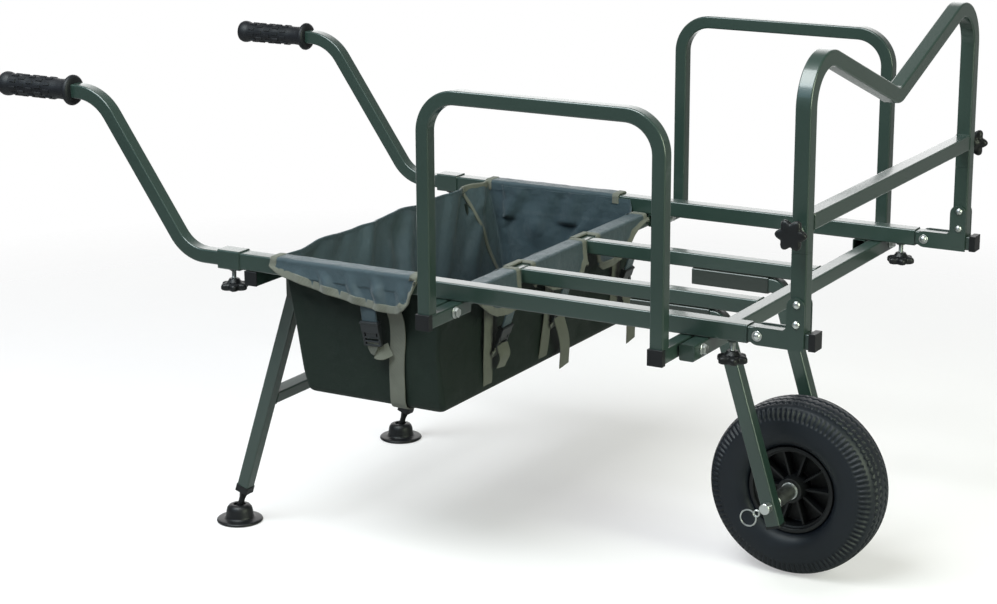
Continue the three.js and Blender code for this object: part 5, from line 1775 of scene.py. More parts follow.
def finish_sheet(name, grid, paths):
    """One sheet, and the binding that follows paths of its cells."""
    form, trim = Form(), Form()
    add_sheet(form, grid)
    # Flaps and wraps take the slate cloth, whose lighter tone is partly painted top light and sheen.
    sheet = finish_cloth(form, name, slate_and_sheen_cloth, sharp=70.0)
    for path in paths:
        edge_ribbon(trim, grid, path)
    finish_cloth(trim, name + "_binding", webbing)


print("cloth tools ready")

# %% [markdown]
# The shell is lofted. At each depth it is a rounded rectangle, and depth changes its four sides:
# the rear wall slopes in to a rounded foot, the long walls bulge a little, and the floor closes below.

# %% Bag shell
WALL_Y = 0.2962
WALL_BULGE = 0.003
RIM_SIDE = 0.453
RIM_FRONT = 0.432
RIM_REAR = 0.4555
BAG_FLOOR = 0.2535
FLOOR_SAG = 0.0035
FOOT_ROUND = 0.011
SIDE_STEPS = 56
WIDE_STEPS = 110
ARC_STEPS = 8
WALL_ROWS = 40
REAR_PLACES = [(0.0, -0.7500), (0.18, -0.7440), (0.37, -0.7360), (0.56, -0.7290), (0.71, -0.7250)]
REAR_PLACES += [(0.88, -0.7205), (1.0, -0.7150)]
FRONT_PLACES = [(0.0, -0.4788), (0.3, -0.4830), (0.6, -0.4840), (1.0, -0.4790)]
CORNER_PLACES = [(0.0, 0.004), (1.0, 0.007)]
# Near, front, far and rear wall: steps along it, and the height of its rim
WALL_RUNS = [(SIDE_STEPS, RIM_SIDE), (WIDE_STEPS, RIM_FRONT), (SIDE_STEPS, RIM_SIDE), (WIDE_STEPS, RIM_REAR)]
FOOT_STEPS = 6
FLOOR_STEPS = 10
FLOOR_SHARE = 0.985   # the floor closes to a narrow seam, not to a line
SEAM_REACH = 0.2
SLACK_LINE = (0.69, 0.70)
SLACK_RUN = 0.05
SLACK_RISE = 0.0035
RIPPLES = [(0.0016, 31, 1.0), (0.0012, 57, 0.0)]   # height, radians per metre, start
# Recipes of folds: how many, their slant, length, width and height
WALL_FOLDS = (44, 0.4, 0.10, 0.015, 0.0062)
CROSS_FOLDS = (44, 0.9, 0.05, 0.022, 0.0052)
FINE_FOLDS = (110, 2.0, 0.02, 0.010, 0.0014)
REAR_MARGIN = 0.003
FAR_MARGIN = 0.02
RAIL_MARGIN = 0.012
RAIL_CLEARANCE_Z = 0.40
MEMBER_CLEARANCE_X = -0.49
MEMBER_CLEARANCE_Z = 0.395
PINNED_SHARE = 0.9
CALM_START = 0.004
CALM_WIDTH = 0.035
REAR_BULGE_LIMIT = 0.0065
WALL_BULGE_LIMIT = 0.003
DENT_LIMIT = 0.016
CALM_BELOW = 0.002
CALM_ABOVE = 0.03


def at_share(places, share):
    return float(np.interp(share, [p[0] for p in places], [p[1] for p in places]))


def bag_ring(share, inset):
    """Points round the bag at a share of its depth, moved in by an inset. Each is (x, y, rim height)."""
    rear, front = at_share(REAR_PLACES, share) + inset, at_share(FRONT_PLACES, share) - inset
    corner = at_share(CORNER_PLACES, share)
    side = WALL_Y + WALL_BULGE * math.sin(math.pi * share) - inset
    ends = [Vector((rear, -side)), Vector((front, -side)), Vector((front, side)), Vector((rear, side))]
    ring = []
    for index, (steps, rim) in enumerate(WALL_RUNS):
        following = (index + 1) % len(WALL_RUNS)
        start, end, next_rim = ends[index], ends[following], WALL_RUNS[following][1]
        along = (end - start).normalized()
        inward = Vector((-along.y, along.x))
        for step in range(steps):
            place = start + along * corner + (end - start - 2 * along * corner) * (step / (steps - 1))
            ring.append((place.x, place.y, rim))
        centre = end - along * corner + inward * corner
        for step in range(1, ARC_STEPS):
            angle = step / ARC_STEPS * math.pi / 2
            place = centre + (along * math.sin(angle) - inward * math.cos(angle)) * corner
            ring.append((place.x, place.y, rim + (next_rim - rim) * step / ARC_STEPS))
    return np.array(ring)


def rim_waves(ring):
    """The rear edge is slack: it rises a little in its middle and ripples."""
    y = ring[:, 1]
    rear = smooth_step(-ring[:, 0], *SLACK_LINE) * smooth_step(WALL_Y - np.abs(y), 0.0, SLACK_RUN)
    ripple = sum(height * np.sin(rate * y + start) for height, rate, start in RIPPLES)
    return rear * (SLACK_RISE * np.cos(y / WALL_Y * math.pi / 2) + ripple)


def bag_row(ring, z):
    return np.column_stack([FRONT_END + ring[:, 0], ring[:, 1], z])


def bag_rows():
    """Rows of the shell's grid: down the walls, round the foot and in over the floor."""
    rows = []
    for index in range(WALL_ROWS + 1):
        share = index / WALL_ROWS
        ring = bag_ring(share, 0.0)
        rim = ring[:, 2] + rim_waves(ring)
        rows.append(bag_row(ring, rim + (BAG_FLOOR + FOOT_ROUND - rim) * share))
    for step in range(1, FOOT_STEPS + 1):
        angle = step / FOOT_STEPS * math.pi / 2
        ring = bag_ring(1.0, FOOT_ROUND * (1 - math.cos(angle)))
        rows.append(bag_row(ring, np.full(len(ring), BAG_FLOOR + FOOT_ROUND * (1 - math.sin(angle)))))
    edge = rows[-1]
    middle_x = (edge[:, 0].min() + edge[:, 0].max()) / 2
    seam_y = np.clip(edge[:, 1], -SEAM_REACH, SEAM_REACH)
    seam = np.column_stack([np.full(len(edge), middle_x), seam_y, edge[:, 2]])
    for step in range(1, FLOOR_STEPS + 1):
        share = step / FLOOR_STEPS * FLOOR_SHARE
        row = edge + (seam - edge) * share
        row[:, 2] -= FLOOR_SAG * math.sin(share * math.pi / 2)
        rows.append(row)
    return np.array(rows)


def bag_folds(grid):
    """Creases. The grid's normals point into the bag, so a push above zero moves the cloth inwards."""
    u, v = grid_lengths(grid)
    perimeter = u[0, -1]
    depth = RIM_SIDE - BAG_FLOOR
    x, width, z = grid[..., 0], np.abs(grid[..., 1]), grid[..., 2]
    rear = x < FRONT_END + REAR_PLACES[-1][1] - REAR_MARGIN
    far = grid[..., 1] > WALL_Y - FAR_MARGIN
    crumpled = 0.55 + 1.35 * rear + 1.0 * (far & ~rear)
    push = scattered(u, v, 11, perimeter, depth * 0.5, WALL_FOLDS) * crumpled
    push += scattered(u, v, 23, perimeter, depth, CROSS_FOLDS) * crumpled
    push += scattered(u, v, 5, perimeter, depth * 1.1, FINE_FOLDS)
    rail = (width > WALL_Y - RAIL_MARGIN) & (z > RAIL_CLEARANCE_Z)
    member = (x > FRONT_END + MEMBER_CLEARANCE_X) & (z > MEMBER_CLEARANCE_Z)
    push = np.where(rail | member, np.abs(push) * PINNED_SHARE, push)
    push = np.where(rear, push * smooth_step(WALL_Y - width, CALM_START, CALM_WIDTH), push)
    push = np.clip(push, np.where(rear, -REAR_BULGE_LIMIT, -WALL_BULGE_LIMIT), DENT_LIMIT)
    return push * smooth_step(z, BAG_FLOOR - CALM_BELOW, BAG_FLOOR + CALM_ABOVE)


def make_shell():
    grid = bag_rows()
    grid = grid + grid_normals(grid, wrap=True) * bag_folds(grid)[..., None]
    form = Form()
    # The bag's inner face takes the slate cloth, whose lighter tone is partly painted top light and sheen.
    add_sheet(form, grid, wrap=True, outside=1, inside=0)
    shell = finish_cloth(form, "bag_shell", [green_cloth, slate_and_sheen_cloth], ["bag"], sharp=70.0)
    return shell, grid


shell, shell_grid = make_shell()
print("shell faces", len(shell.data.polygons))

# %% [markdown]
# Flaps: each goes up inside its rail, over it, and down outside to a hem that drops towards the wheel.
# The hem's line was taken off the photograph, as a few heights along the rail.

# %% Flaps over the rails
FLAP_REAR = -0.753
FLAP_FRONT = -0.5045
FLAP_INNER = 0.2960
FLAP_OUTER = 0.3242
FLAP_START = RIM_SIDE - 0.010
FLAP_TOP = 0.4585
FLAP_ROUND = 0.0042
FLAP_FLARE = 0.0045
FLAP_ROWS = (10, 6, 12, 36)
FLAP_STEPS = 110
HEM_PLACES = [(-0.753, 0.4460), (-0.740, 0.4375), (-0.729, 0.4335), (-0.702, 0.4275), (-0.668, 0.4205)]
HEM_PLACES += [(-0.633, 0.4140), (-0.599, 0.4085), (-0.566, 0.4040), (-0.545, 0.4020), (-0.532, 0.4035)]
HEM_PLACES += [(-0.5225, 0.4095), (-0.5155, 0.4200), (-0.5100, 0.4350), (-0.5045, 0.4530)]
FREE_START = 0.045    # how far along the section the cloth leaves the rail
FREE_RUN = 0.03
HANG_SLANT = 0.55
HANG_WIDTH = 0.0088
HANG_HEIGHT = 0.0072
STEEP_FOLDS = [(0.055, 0.7), (0.078, -0.8), (0.098, 1.0), (0.122, -0.7), (0.142, 0.8), (0.165, -0.9)]
LAZY_FOLDS = [(0.186, 1.0), (0.206, -0.7), (0.228, 0.6)]
# Each kind: its folds, how far below the free cloth's start they are, their share of the slant, their length
HANG_KINDS = [(STEEP_FOLDS, 0.020, 1.0, 0.034), (LAZY_FOLDS, 0.024, 0.5, 0.040)]
TOP_MIDDLE = 0.028
TOP_SPREAD = 0.02
TOP_CREASES = (34, 1.6, 0.02, 0.009, 0.0009)
FREE_CREASES = (40, 1.5, 0.022, 0.011, 0.0020)
FACE_START = 0.033
FACE_DENT = 0.0002
DENT_START = 0.065
HEM_DENT = 0.0016


def flap_grid(sign):
    columns = []
    for step in range(FLAP_STEPS + 1):
        x = FLAP_REAR + (FLAP_FRONT - FLAP_REAR) * step / FLAP_STEPS
        folded = (FLAP_START, FLAP_TOP, FLAP_ROUND, at_share(HEM_PLACES, x), FLAP_FLARE, FLAP_ROWS)
        section = over_tube(FLAP_INNER, FLAP_OUTER, *folded)
        columns.append([tuple(spot(x, sign * y, z)) for y, z in section])
    grid = np.array(columns).transpose(1, 0, 2)
    return grid[:, ::-1] if sign > 0 else grid


def flap_folds(grid, sign):
    """Slanting ridges that hang from the rail's outer edge and grow towards the hem."""
    u, v = grid_lengths(grid)
    length = u[0, -1]
    drop = v[-1].max()
    free = smooth_step(v, FREE_START, FREE_START + FREE_RUN)
    places = []
    for kind, down, slant_share, reach in HANG_KINDS:
        slant = -sign * HANG_SLANT * slant_share
        for along, share in kind:
            place = along if sign < 0 else length - along
            places.append((place, FREE_START + down, slant, reach, share))
    push = folds(u, v, places, HANG_WIDTH, HANG_HEIGHT) * free
    top = np.exp(-((v - TOP_MIDDLE) / TOP_SPREAD) ** 2)
    push += scattered(u, v, 31 - sign, length, drop * 0.5, TOP_CREASES) * top
    push += scattered(u, v, 47 + sign, length, drop, FREE_CREASES) * free
    deepest = np.where(v > DENT_START, -HEM_DENT, np.where(v > FACE_START, -FACE_DENT, 0.0))
    return np.maximum(push, deepest)


def make_flaps():
    for side_name, sign in SIDES:
        grid = flap_grid(sign)
        grid = grid + outward_normals(grid, 1, sign) * flap_folds(grid, sign)[..., None]
        rows, columns = grid.shape[:2]
        rear, front = (0, columns - 1) if sign < 0 else (columns - 1, 0)
        hem = [(rows - 1, column) for column in range(columns)]
        if sign > 0:
            hem = hem[::-1]
        hem += [(row, front) for row in range(rows - 2, 0, -1)]
        paths = [hem, [(row, rear) for row in range(rows)]]
        finish_sheet(side_name + "_flap", grid, paths)


make_flaps()
print("flaps made")

# %% [markdown]
# Wraps: the front wall's edge goes over the middle member in three tongues, with bound slots for the
# inner bars.

# %% Wraps round the middle member
MEMBER_REAR = -0.4775
MEMBER_FRONT = -0.4525
WRAP_TOP = 0.4332
WRAP_START = 0.405
NEAR_HEM = [(-0.293, 0.4240), (-0.262, 0.4170), (-0.243, 0.4080), (-0.223, 0.3910), (-0.195, 0.3795)]
NEAR_HEM += [(-0.166, 0.3755), (-0.136, 0.3765), (-0.125, 0.3830), (-0.108, 0.3990)]
MIDDLE_HEM = [(-0.076, 0.4000), (-0.062, 0.3965), (-0.045, 0.3900), (-0.029, 0.3805), (0.002, 0.3762)]
MIDDLE_HEM += [(0.040, 0.3755), (0.060, 0.3775), (0.068, 0.3830), (0.076, 0.3960)]
WRAP_ROUND = 0.0035
WRAP_FLARE = 0.004
WRAP_ROWS = (8, 6, 10, 24)
WRAP_STEPS = 64
WRAP_DEPTH = 0.12
WRAP_CREASES = (22, 0.7, 0.03, 0.011, 0.0018)
WRAP_PINNED = 0.03
WRAP_FREE = (0.062, 0.09)
PINNED_HEIGHT_SHARE = 0.35
BOUND_ROW = 6
CORNER_GAP = 0.003
SLOT_GAP = 0.007


def wrap_grid(low, high, hems):
    columns = []
    for step in range(WRAP_STEPS + 1):
        y = low + (high - low) * step / WRAP_STEPS
        folded = (WRAP_START, WRAP_TOP, WRAP_ROUND, at_share(hems, y), WRAP_FLARE, WRAP_ROWS)
        section = over_tube(MEMBER_REAR, MEMBER_FRONT, *folded)
        columns.append([tuple(spot(x, y, z)) for x, z in section])
    return np.array(columns).transpose(1, 0, 2)


def make_wraps():
    inner, bar = WALL_Y - CORNER_GAP, LADDER_SIZE / 2 + SLOT_GAP
    far_hem = [(-y, z) for y, z in NEAR_HEM[::-1]]
    spans = [("near", -inner, -INNER_BAR_Y - bar, NEAR_HEM)]
    spans += [("middle", -INNER_BAR_Y + bar, INNER_BAR_Y - bar, MIDDLE_HEM)]
    spans += [("far", INNER_BAR_Y + bar, inner, far_hem)]
    for place, low, high, hems in spans:
        grid = wrap_grid(low, high, hems)
        u, v = grid_lengths(grid)
        push = scattered(u, v, 61 + len(place), high - low, WRAP_DEPTH, WRAP_CREASES)
        free = PINNED_HEIGHT_SHARE + smooth_step(v, *WRAP_FREE)
        push = np.where(v > WRAP_PINNED, np.abs(push), 0) * free
        grid = grid + outward_normals(grid, 0, 1) * push[..., None]
        rows, columns = grid.shape[:2]
        path = [(row, 0) for row in range(BOUND_ROW, rows - 1)]
        path += [(rows - 1, column) for column in range(columns)]
        path += [(row, columns - 1) for row in range(rows - 2, BOUND_ROW - 1, -1)]
        finish_sheet(place + "_wrap", grid, [path])


make_wraps()
print("wraps made")

# %% [markdown]
# Webbing and buckles: the rear rim is hemmed, seams are piped, bound edges close the slots, and straps
# run down the walls to side-release buckles. Straps are flat, so they are made directly as ribbons.

# %% Trim and straps
REAR_LINE = 0.74
HEM_END = 0.001
HEM_DROP = 0.004
HEM_WIDTH = 0.011
HEM_THICKNESS = 0.0032
PATCH_START = 0.215
PATCH_DROP = 0.0035
PATCH_THICKNESS = 0.0046
SEAM_TOP = (0.222, 0.450)
SEAM_FOOT = (0.286, 0.300)
SEAM_STEPS = 24
SEAM_OFF = 0.0016
SEAM_WIDTH = 0.007
SEAM_THICKNESS = 0.003
SEAM_DEPTH_SHARE = 0.7
SLOT_OVERLAP = 0.004
SLOT_LIFT = 0.0012
SLOT_WIDTH = 0.010
SLOT_STEPS = 12
STRAP_WIDTH = 0.0255
STRAP_THICKNESS = 0.0018
NARROW_SHARE = 0.8
BUCKLE_WIDTH = 0.030
BUCKLE_DEPTH = 0.0090
BUCKLE_LENGTH = 0.040
BUCKLE_EDGE = 0.0009
# The buckle's slabs, in shares of its size: middle down, middle across, width, length, depth
BUCKLE_SHARES = [(0.2125, 0, 1, 0.425, 1), (0.0625, 0, 1.06, 0.075, 1.15), (0.5, 0, 0.6, 0.2, 0.62)]
BUCKLE_SHARES += [(0.5, -0.43, 0.13, 0.225, 0.7), (0.775, -0.44, 0.12, 0.375, 0.6)]
BUCKLE_SHARES += [(0.5, 0.43, 0.13, 0.225, 0.7), (0.775, 0.44, 0.12, 0.375, 0.6)]
BUCKLE_SHARES += [(0.625, 0, 1, 0.07, 0.6), (0.775, 0, 1, 0.07, 0.6), (0.925, 0, 1, 0.07, 0.6)]
BUCKLE_BAR = 0.031    # from the buckle's upper edge to the bar that the strap goes round


def nearest_on_shell(x, y, z):
    """The shell's grid point nearest to a place."""
    target = np.array(tuple(spot(x, y, z)))
    flat = shell_grid.reshape(-1, 3)
    return flat[np.argmin(np.sum((flat - target) ** 2, axis=1))]


def edge_webbing(form, line, drop, width, thickness):
    """Webbing that stands upright along a line of the rim, a little below it."""
    add_ribbon(form, line - np.array([0, 0, drop]), np.tile([0, 0, 1.0], (len(line), 1)), width, thickness)


def make_rim_trim():
    row = shell_grid[0]
    rear = row[(row[:, 0] < FRONT_END - REAR_LINE) & (np.abs(row[:, 1]) < WALL_Y - HEM_END)]
    rear = rear[np.argsort(rear[:, 1])]
    hem, trim = Form(), Form()
    edge_webbing(hem, rear, HEM_DROP, HEM_WIDTH, HEM_THICKNESS)
    # The hem takes the slate cloth, partly painted top light and sheen.
    finish_cloth(hem, "rear_hem", slate_and_sheen_cloth)
    edge_webbing(trim, rear[rear[:, 1] > PATCH_START], PATCH_DROP, BINDING_WIDTH, PATCH_THICKNESS)
    add_seam(trim)
    for _, sign in SIDES:
        reach = LADDER_SIZE / 2 + SLOT_GAP + SLOT_OVERLAP
        places = [sign * INNER_BAR_Y + reach * (2 * k / SLOT_STEPS - 1) for k in range(SLOT_STEPS + 1)]
        line = [spot(MEMBER_REAR + SLOT_OVERLAP, y, WRAP_TOP + SLOT_LIFT) for y in places]
        add_ribbon(trim, line, [X_AXIS] * len(line), SLOT_WIDTH, BINDING_THICKNESS)
    finish_cloth(trim, "bag_piping", webbing)


def add_seam(form):
    """Piping that slants down the rear wall from the far corner's patch."""
    seam = []
    for step in range(SEAM_STEPS + 1):
        share = step / SEAM_STEPS
        y, z = (top + (foot - top) * share for top, foot in zip(SEAM_TOP, SEAM_FOOT))
        x = at_share(REAR_PLACES, share * SEAM_DEPTH_SHARE)
        seam.append(nearest_on_shell(x, y, z) + [SEAM_OFF, 0, 0])
    seam = smooth_line(np.array(seam))
    add_ribbon(form, seam, np.tile([0, 1.0, 0.2], (len(seam), 1)), SEAM_WIDTH, SEAM_THICKNESS)


def smooth_line(points, rounds=6):
    for _ in range(rounds):
        points[1:-1] = (points[:-2] + 2 * points[1:-1] + points[2:]) / 4
    return points


def add_slab(form, middle, right, down, width, length, depth):
    """A box with its own directions."""
    out = right.cross(down)
    corners = []
    for z in (-1, 1):
        for y in (-1, 1):
            for x in (-1, 1):
                corners.append(middle + right * x * width / 2 + down * y * length / 2 + out * z * depth / 2)
    return form.add(corners, BOX_FACES)


def add_buckle(form, top, right, down):
    """Side-release buckle from its upper edge: socket, prongs at its sides, and a two-bar end."""
    for along, across, width, length, depth in BUCKLE_SHARES:
        middle = top + down * along * BUCKLE_LENGTH + right * across * BUCKLE_WIDTH
        size = (width * BUCKLE_WIDTH, length * BUCKLE_LENGTH, depth * BUCKLE_DEPTH)
        add_slab(form, middle, right, down, *size)


def finish_strap(strap, tab, buckle, names):
    """The three pieces of one strap."""
    finish_cloth(strap, names[0], webbing)
    # The tab takes the slate cloth, partly painted top light and sheen.
    finish_cloth(tab, names[1], slate_and_sheen_cloth)
    finish_piece(buckle, names[2], "frame", buckle_plastic, bevel=BUCKLE_EDGE)


def add_strap(form, points, sides, width=STRAP_WIDTH):
    """Webbing along a smooth curve. sides is one direction, or a function of the share of the way along."""
    curve = smooth_curve(points)
    if callable(sides):
        directions = [sides(step / len(curve)) for step in range(len(curve))]
    else:
        directions = [sides] * len(curve)
    add_ribbon(form, curve, directions, width, STRAP_THICKNESS)


# Side straps: (x, distance out from the wall's line, height), and distances down from the buckle's upper edge
SIDE_ROUTE = [(-0.549, 0.012, 0.404), (-0.547, 0.006, 0.385), (-0.5485, 0.001, 0.360), (-0.551, 0, 0.335)]
SIDE_ROUTE += [(-0.552, 0, 0.310), (-0.552, -0.001, 0.285), (-0.552, -0.0015, 0.268), (-0.552, -0.005, 0.256)]
SIDE_ROUTE += [(-0.552, -0.014, 0.2510), (-0.552, -0.030, 0.2492)]
SIDE_LOOP = [(-0.573, 0.010, 0.336), (-0.560, 0.0035, 0.342)]
SIDE_LOOP_END = 0.043
SIDE_TAB = (-0.034, -0.015, 0.004)
SIDE_TAB_TUCK = 0.003
SIDE_STRAP_OFF = 0.0042
SIDE_BUCKLE_X = -0.585
SIDE_BUCKLE_Z = 0.384
SIDE_BUCKLE_INSET = 0.003
SIDE_LEAN = (0.05, -0.16, -1)
LOOP_TWIST = (-0.15, -1.1)


def make_side_straps():
    """A strap sewn down each long wall, and a buckle that hangs from the flap and pulls on that strap."""
    for side_name, sign in SIDES:
        lie = sign * (WALL_Y + WALL_BULGE + SIDE_STRAP_OFF)
        strap, tab, buckle = Form(), Form(), Form()
        add_strap(strap, [spot(x, lie + sign * out, z) for x, out, z in SIDE_ROUTE], X_AXIS)
        lean = Vector((SIDE_LEAN[0], sign * SIDE_LEAN[1], SIDE_LEAN[2])).normalized()
        right = X_AXIS * -sign
        right = (right - lean * right.dot(lean)).normalized()
        top = spot(SIDE_BUCKLE_X, sign * (FLAP_OUTER - SIDE_BUCKLE_INSET), SIDE_BUCKLE_Z)
        add_buckle(buckle, top, right, lean)
        hang = [top + lean * along for along in SIDE_TAB]
        hang[0] -= Y_AXIS * sign * SIDE_TAB_TUCK
        add_ribbon(tab, hang, [right] * len(hang), STRAP_WIDTH, STRAP_THICKNESS * 2)
        loop = [top + lean * BUCKLE_BAR, top + lean * SIDE_LOOP_END]
        loop += [spot(x, lie + sign * out, z) for x, out, z in SIDE_LOOP]
        add_strap(strap, loop, loop_side, STRAP_WIDTH * NARROW_SHARE)
        names = [side_name + kind for kind in ("_side_strap", "_buckle_tab", "_side_buckle")]
        finish_strap(strap, tab, buckle, names)


def loop_side(share):
    """The loop's width, which twists as the strap goes back to the wall."""
    return Vector((1, 0, LOOP_TWIST[0] + LOOP_TWIST[1] * share)).normalized()


def smooth_curve(points, steps=5):
    """Catmull-Rom points through a list."""
    ends = [2 * points[0] - points[1]] + list(points) + [2 * points[-1] - points[-2]]
    curve = []
    for index in range(1, len(ends) - 2):
        p0, p1, p2, p3 = ends[index - 1:index + 3]
        for step in range(steps):
            t = step / steps
            spline = 2 * p1 + (p2 - p0) * t + (2 * p0 - 5 * p1 + 4 * p2 - p3) * t * t
            curve.append((spline + (3 * p1 - p0 - 3 * p2 + p3) * t * t * t) / 2)
    return curve + [points[-1]]


# Each front strap: y at the hem, at the floor and at the buckle, and the loose end's sway and drop
FRONT_STRAPS = [(-0.170, -0.172, -0.150, -0.004, 0.036), (0.014, -0.004, 0.024, 0.018, 0.084)]
FRONT_STRAPS += [(0.236, 0.226, 0.244, 0.026, 0.100)]
# Their common route: distance out from the wall, share of the way from the hem's y to the floor's, height
FRONT_ROUTE = [(0.0015, 0, 0.384), (0.001, 0, 0.345), (0, 0.5, 0.300), (0, 1, 0.2695), (-0.006, 1, 0.2555)]
FRONT_ROUTE += [(-0.02, 1, 0.2511)]
FRONT_WALL_SHARE = 0.6
FRONT_STRAP_OFF = 0.0055
FRONT_TAB = (-0.030, -0.014, 0.004)
FRONT_LEAN = (-0.36, 0.06, -1)
FRONT_BUCKLE_INSET = 0.0065
FRONT_BUCKLE_Z = 0.354
JOINT_OFF = 0.003
JOINT_SHIFT = -0.004
JOINT_Z = 0.308
JOINT_SAG = 0.003
TAIL_OFF = 0.002
TAIL_BOW = 0.007
TAIL_SIDE = Vector((0.1, 1, 0.2)).normalized()


def make_front_straps():
    wall = at_share(FRONT_PLACES, FRONT_WALL_SHARE) + FRONT_STRAP_OFF
    down = Vector(FRONT_LEAN).normalized()
    right = (Y_AXIS - down * Y_AXIS.dot(down)).normalized()
    for index, (hem_y, foot_y, buckle_y, sway, drop) in enumerate(FRONT_STRAPS):
        strap, tab, buckle = Form(), Form(), Form()
        route = [spot(wall + out, hem_y + (foot_y - hem_y) * share, z) for out, share, z in FRONT_ROUTE]
        add_strap(strap, route, Y_AXIS)
        top = spot(MEMBER_FRONT - FRONT_BUCKLE_INSET, buckle_y, FRONT_BUCKLE_Z)
        add_buckle(buckle, top, right, down)
        hang = [top + down * along for along in FRONT_TAB]
        add_ribbon(tab, hang, [right] * len(hang), STRAP_WIDTH, STRAP_THICKNESS * 2)
        low = top + down * BUCKLE_BAR
        joint = spot(wall + JOINT_OFF, (hem_y + buckle_y) / 2 + JOINT_SHIFT, JOINT_Z)
        sagging = [low, low.lerp(joint, 0.5) - Z_AXIS * JOINT_SAG, joint]
        add_strap(strap, sagging, right, STRAP_WIDTH * NARROW_SHARE)
        end = low + Vector((TAIL_OFF, sway, -drop))
        add_strap(strap, [low + X_AXIS * TAIL_OFF, low.lerp(end, 0.5) + X_AXIS * TAIL_BOW, end], TAIL_SIDE)
        names = [f"front_{kind}_{index + 1}" for kind in ("strap", "buckle_tab", "buckle")]
        finish_strap(strap, tab, buckle, names)


make_rim_trim()
make_side_straps()
make_front_straps()
print("straps made")

# %% [markdown]
# The studio: a pale floor that keeps the shadow and fades into white, soft lamps, and the photograph's
# camera. Only camera rays see the white room. Reflections see a bright wall behind the barrow.

# %% Studio
CAMERA_PLACE = (1.18977, -3.02262, 1.2711)
CAMERA_YAW = 0.5244
CAMERA_PITCH = 0.2604
CAMERA_ROLL = -0.0046
CAMERA_PIXELS = 2345.43
IMAGE_WIDTH = 997
SENSOR_WIDTH = 36.0
WALL_SPREAD = (0.70, 0.95)
WALL_LIGHT = 2.0
ROOM_LIGHT = 0.2
FLOOR_GLOW = 0.39
FLOOR_DIM = 0.7
FLOOR_SIDES = 48
FLOOR_REACH = 4.0
FLOOR_SINK = 0.0004
FLOOR_CLOUD = 6.0
FLOOR_FADE = (1.1, 2.2)
VIEW_END = 50.0
# Each lamp: its place, what it faces, its width and height, its power in watts and its colour
LAMPS = {
    "key": ((-1.2, -2.6, 2.4), (0, 0, 0.3), (2.2, 1.6), 14, (0.4, 0.75, 1.0)),
    "top": ((-0.3, -1.5, 2.9), (0, 0, 0.3), (2.2, 1.8), 122, (0.93, 1.0, 1.0)),
    "front": ((3.0, -0.6, 1.3), (0, 0, 0.4), (1.6, 1.6), 62, (0.88, 1.0, 0.75)),
}


def make_camera():
    data = bpy.data.cameras.new("camera")
    data.sensor_width = SENSOR_WIDTH
    data.lens = CAMERA_PIXELS * SENSOR_WIDTH / IMAGE_WIDTH
    data.clip_end = VIEW_END
    camera = bpy.data.objects.new("camera", data)
    scene.collection.objects.link(camera)
    yaw, pitch, roll = CAMERA_YAW, CAMERA_PITCH, CAMERA_ROLL
    forward = Vector((-math.sin(yaw) * math.cos(pitch), math.cos(yaw) * math.cos(pitch), -math.sin(pitch)))
    right = Vector((math.cos(yaw), math.sin(yaw), 0))
    up = right.cross(forward)
    right, up = right * math.cos(roll) + up * math.sin(roll), up * math.cos(roll) - right * math.sin(roll)
    turn = Matrix((right, up, -forward)).transposed()
    camera.matrix_world = Matrix.Translation(spot(*CAMERA_PLACE)) @ turn.to_4x4()
    scene.camera = camera


def add_lamp(name, place, target, size, power, colour):
    data = bpy.data.lights.new(name, "AREA")
    data.shape = "RECTANGLE"
    data.size, data.size_y = size
    data.energy = power
    data.color = colour
    lamp = bpy.data.objects.new(name, data)
    scene.collection.objects.link(lamp)
    lamp.location = place
    lamp.rotation_euler = (Vector(target) - Vector(place)).to_track_quat("-Z", "Y").to_euler()


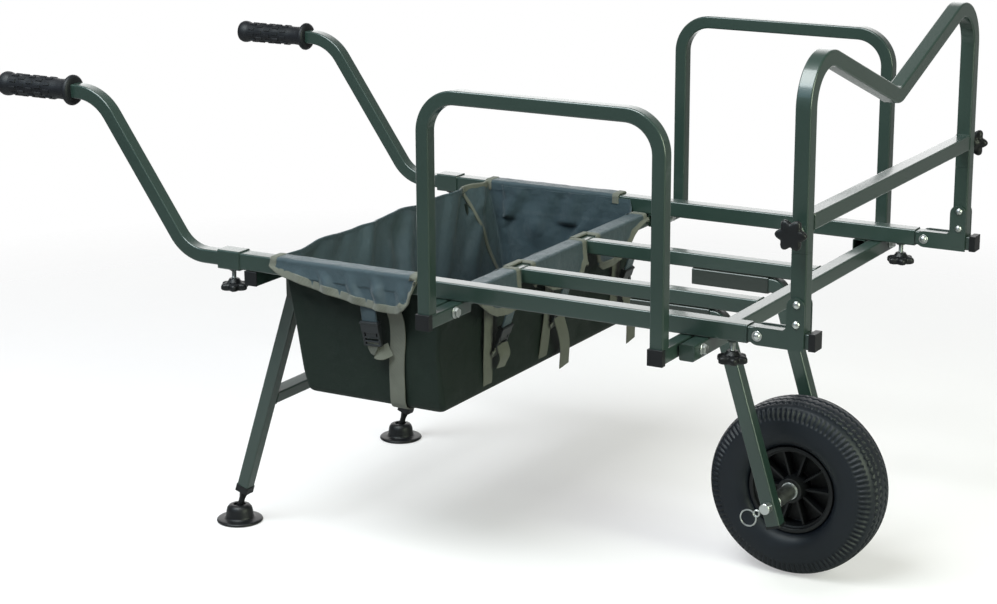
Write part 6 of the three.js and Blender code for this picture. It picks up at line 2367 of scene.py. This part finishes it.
def make_world():
    """White where the camera looks. Other rays see a bright wall behind the barrow, and a dim room."""
    world = bpy.data.worlds.new("studio")
    scene.world = world
    world.use_nodes = True
    nodes, links = world.node_tree.nodes, world.node_tree.links
    background = nodes["Background"]

    def math_node(operation, *values):
        made = nodes.new("ShaderNodeMath")
        made.operation = operation
        for socket, value in zip(made.inputs, values):
            if isinstance(value, float):
                socket.default_value = value
            else:
                links.new(value, socket)
        return made.outputs[0]

    facing = nodes.new("ShaderNodeVectorMath")
    facing.operation = "DOT_PRODUCT"
    links.new(nodes.new("ShaderNodeTexCoord").outputs["Generated"], facing.inputs[0])
    facing.inputs[1].default_value = (-math.sin(CAMERA_YAW), math.cos(CAMERA_YAW), 0.0)
    wall = nodes.new("ShaderNodeMapRange")
    wall.interpolation_type = "SMOOTHSTEP"
    links.new(facing.outputs["Value"], wall.inputs[0])
    for socket, value in zip(list(wall.inputs)[1:5], (*WALL_SPREAD, ROOM_LIGHT, WALL_LIGHT)):
        socket.default_value = value
    camera_ray = nodes.new("ShaderNodeLightPath").outputs["Is Camera Ray"]
    seen = math_node("MULTIPLY", math_node("SUBTRACT", 1.0, camera_ray), wall.outputs[0])
    links.new(math_node("ADD", seen, camera_ray), background.inputs["Strength"])
    background.inputs["Color"].default_value = (1.0, 1.0, 1.0, 1.0)


def make_floor():
    angles = [2 * math.pi * k / FLOOR_SIDES for k in range(FLOOR_SIDES)]
    ring = [(FLOOR_REACH * math.cos(angle), FLOOR_REACH * math.sin(angle), -FLOOR_SINK) for angle in angles]
    mesh = bpy.data.meshes.new("floor")
    mesh.from_pydata(ring, [], [list(range(FLOOR_SIDES))])
    floor = bpy.data.objects.new("floor", mesh)
    scene.collection.objects.link(floor)
    look = Look("pale_floor", Roughness=0.9, Specular_IOR_Level=0.1)
    paper = look.noise(FLOOR_CLOUD)
    camera_ray = Signal(look, look.tree.nodes.new("ShaderNodeLightPath").outputs["Is Camera Ray"])
    white = look.tint(paper, rgb(0.985, 0.965, 0.968), rgb(0.995, 0.977, 0.98))
    look.into("Base Color", look.tint(camera_ray, rgb(FLOOR_DIM, FLOOR_DIM, FLOOR_DIM), white))
    clear = look.tree.nodes.new("ShaderNodeBsdfTransparent")
    mix = look.tree.nodes.new("ShaderNodeMixShader")
    distance = look.node("ShaderNodeVectorMath", {"operation": "LENGTH"}, [look.coordinates()], output=1)
    fade = look.node("ShaderNodeMapRange", {}, {0: distance, 1: FLOOR_FADE[0], 2: FLOOR_FADE[1]})
    look.tree.links.new(fade.socket, mix.inputs[0])
    glow = look.tree.nodes.new("ShaderNodeEmission")
    seen = look.tree.nodes.new("ShaderNodeMixShader")
    look.tree.links.new((FLOOR_GLOW * camera_ray).socket, seen.inputs[0])
    look.tree.links.new(look.shader.outputs[0], seen.inputs[1])
    look.tree.links.new(glow.outputs[0], seen.inputs[2])
    look.tree.links.new(seen.outputs[0], mix.inputs[1])
    look.tree.links.new(clear.outputs[0], mix.inputs[2])
    look.tree.links.new(mix.outputs[0], look.tree.nodes["Material Output"].inputs["Surface"])
    mesh.materials.append(look.material)


make_camera()
make_world()
make_floor()
for name, settings in LAMPS.items():
    add_lamp(name, *settings)
scene.view_settings.view_transform = "Standard"
print("studio made")
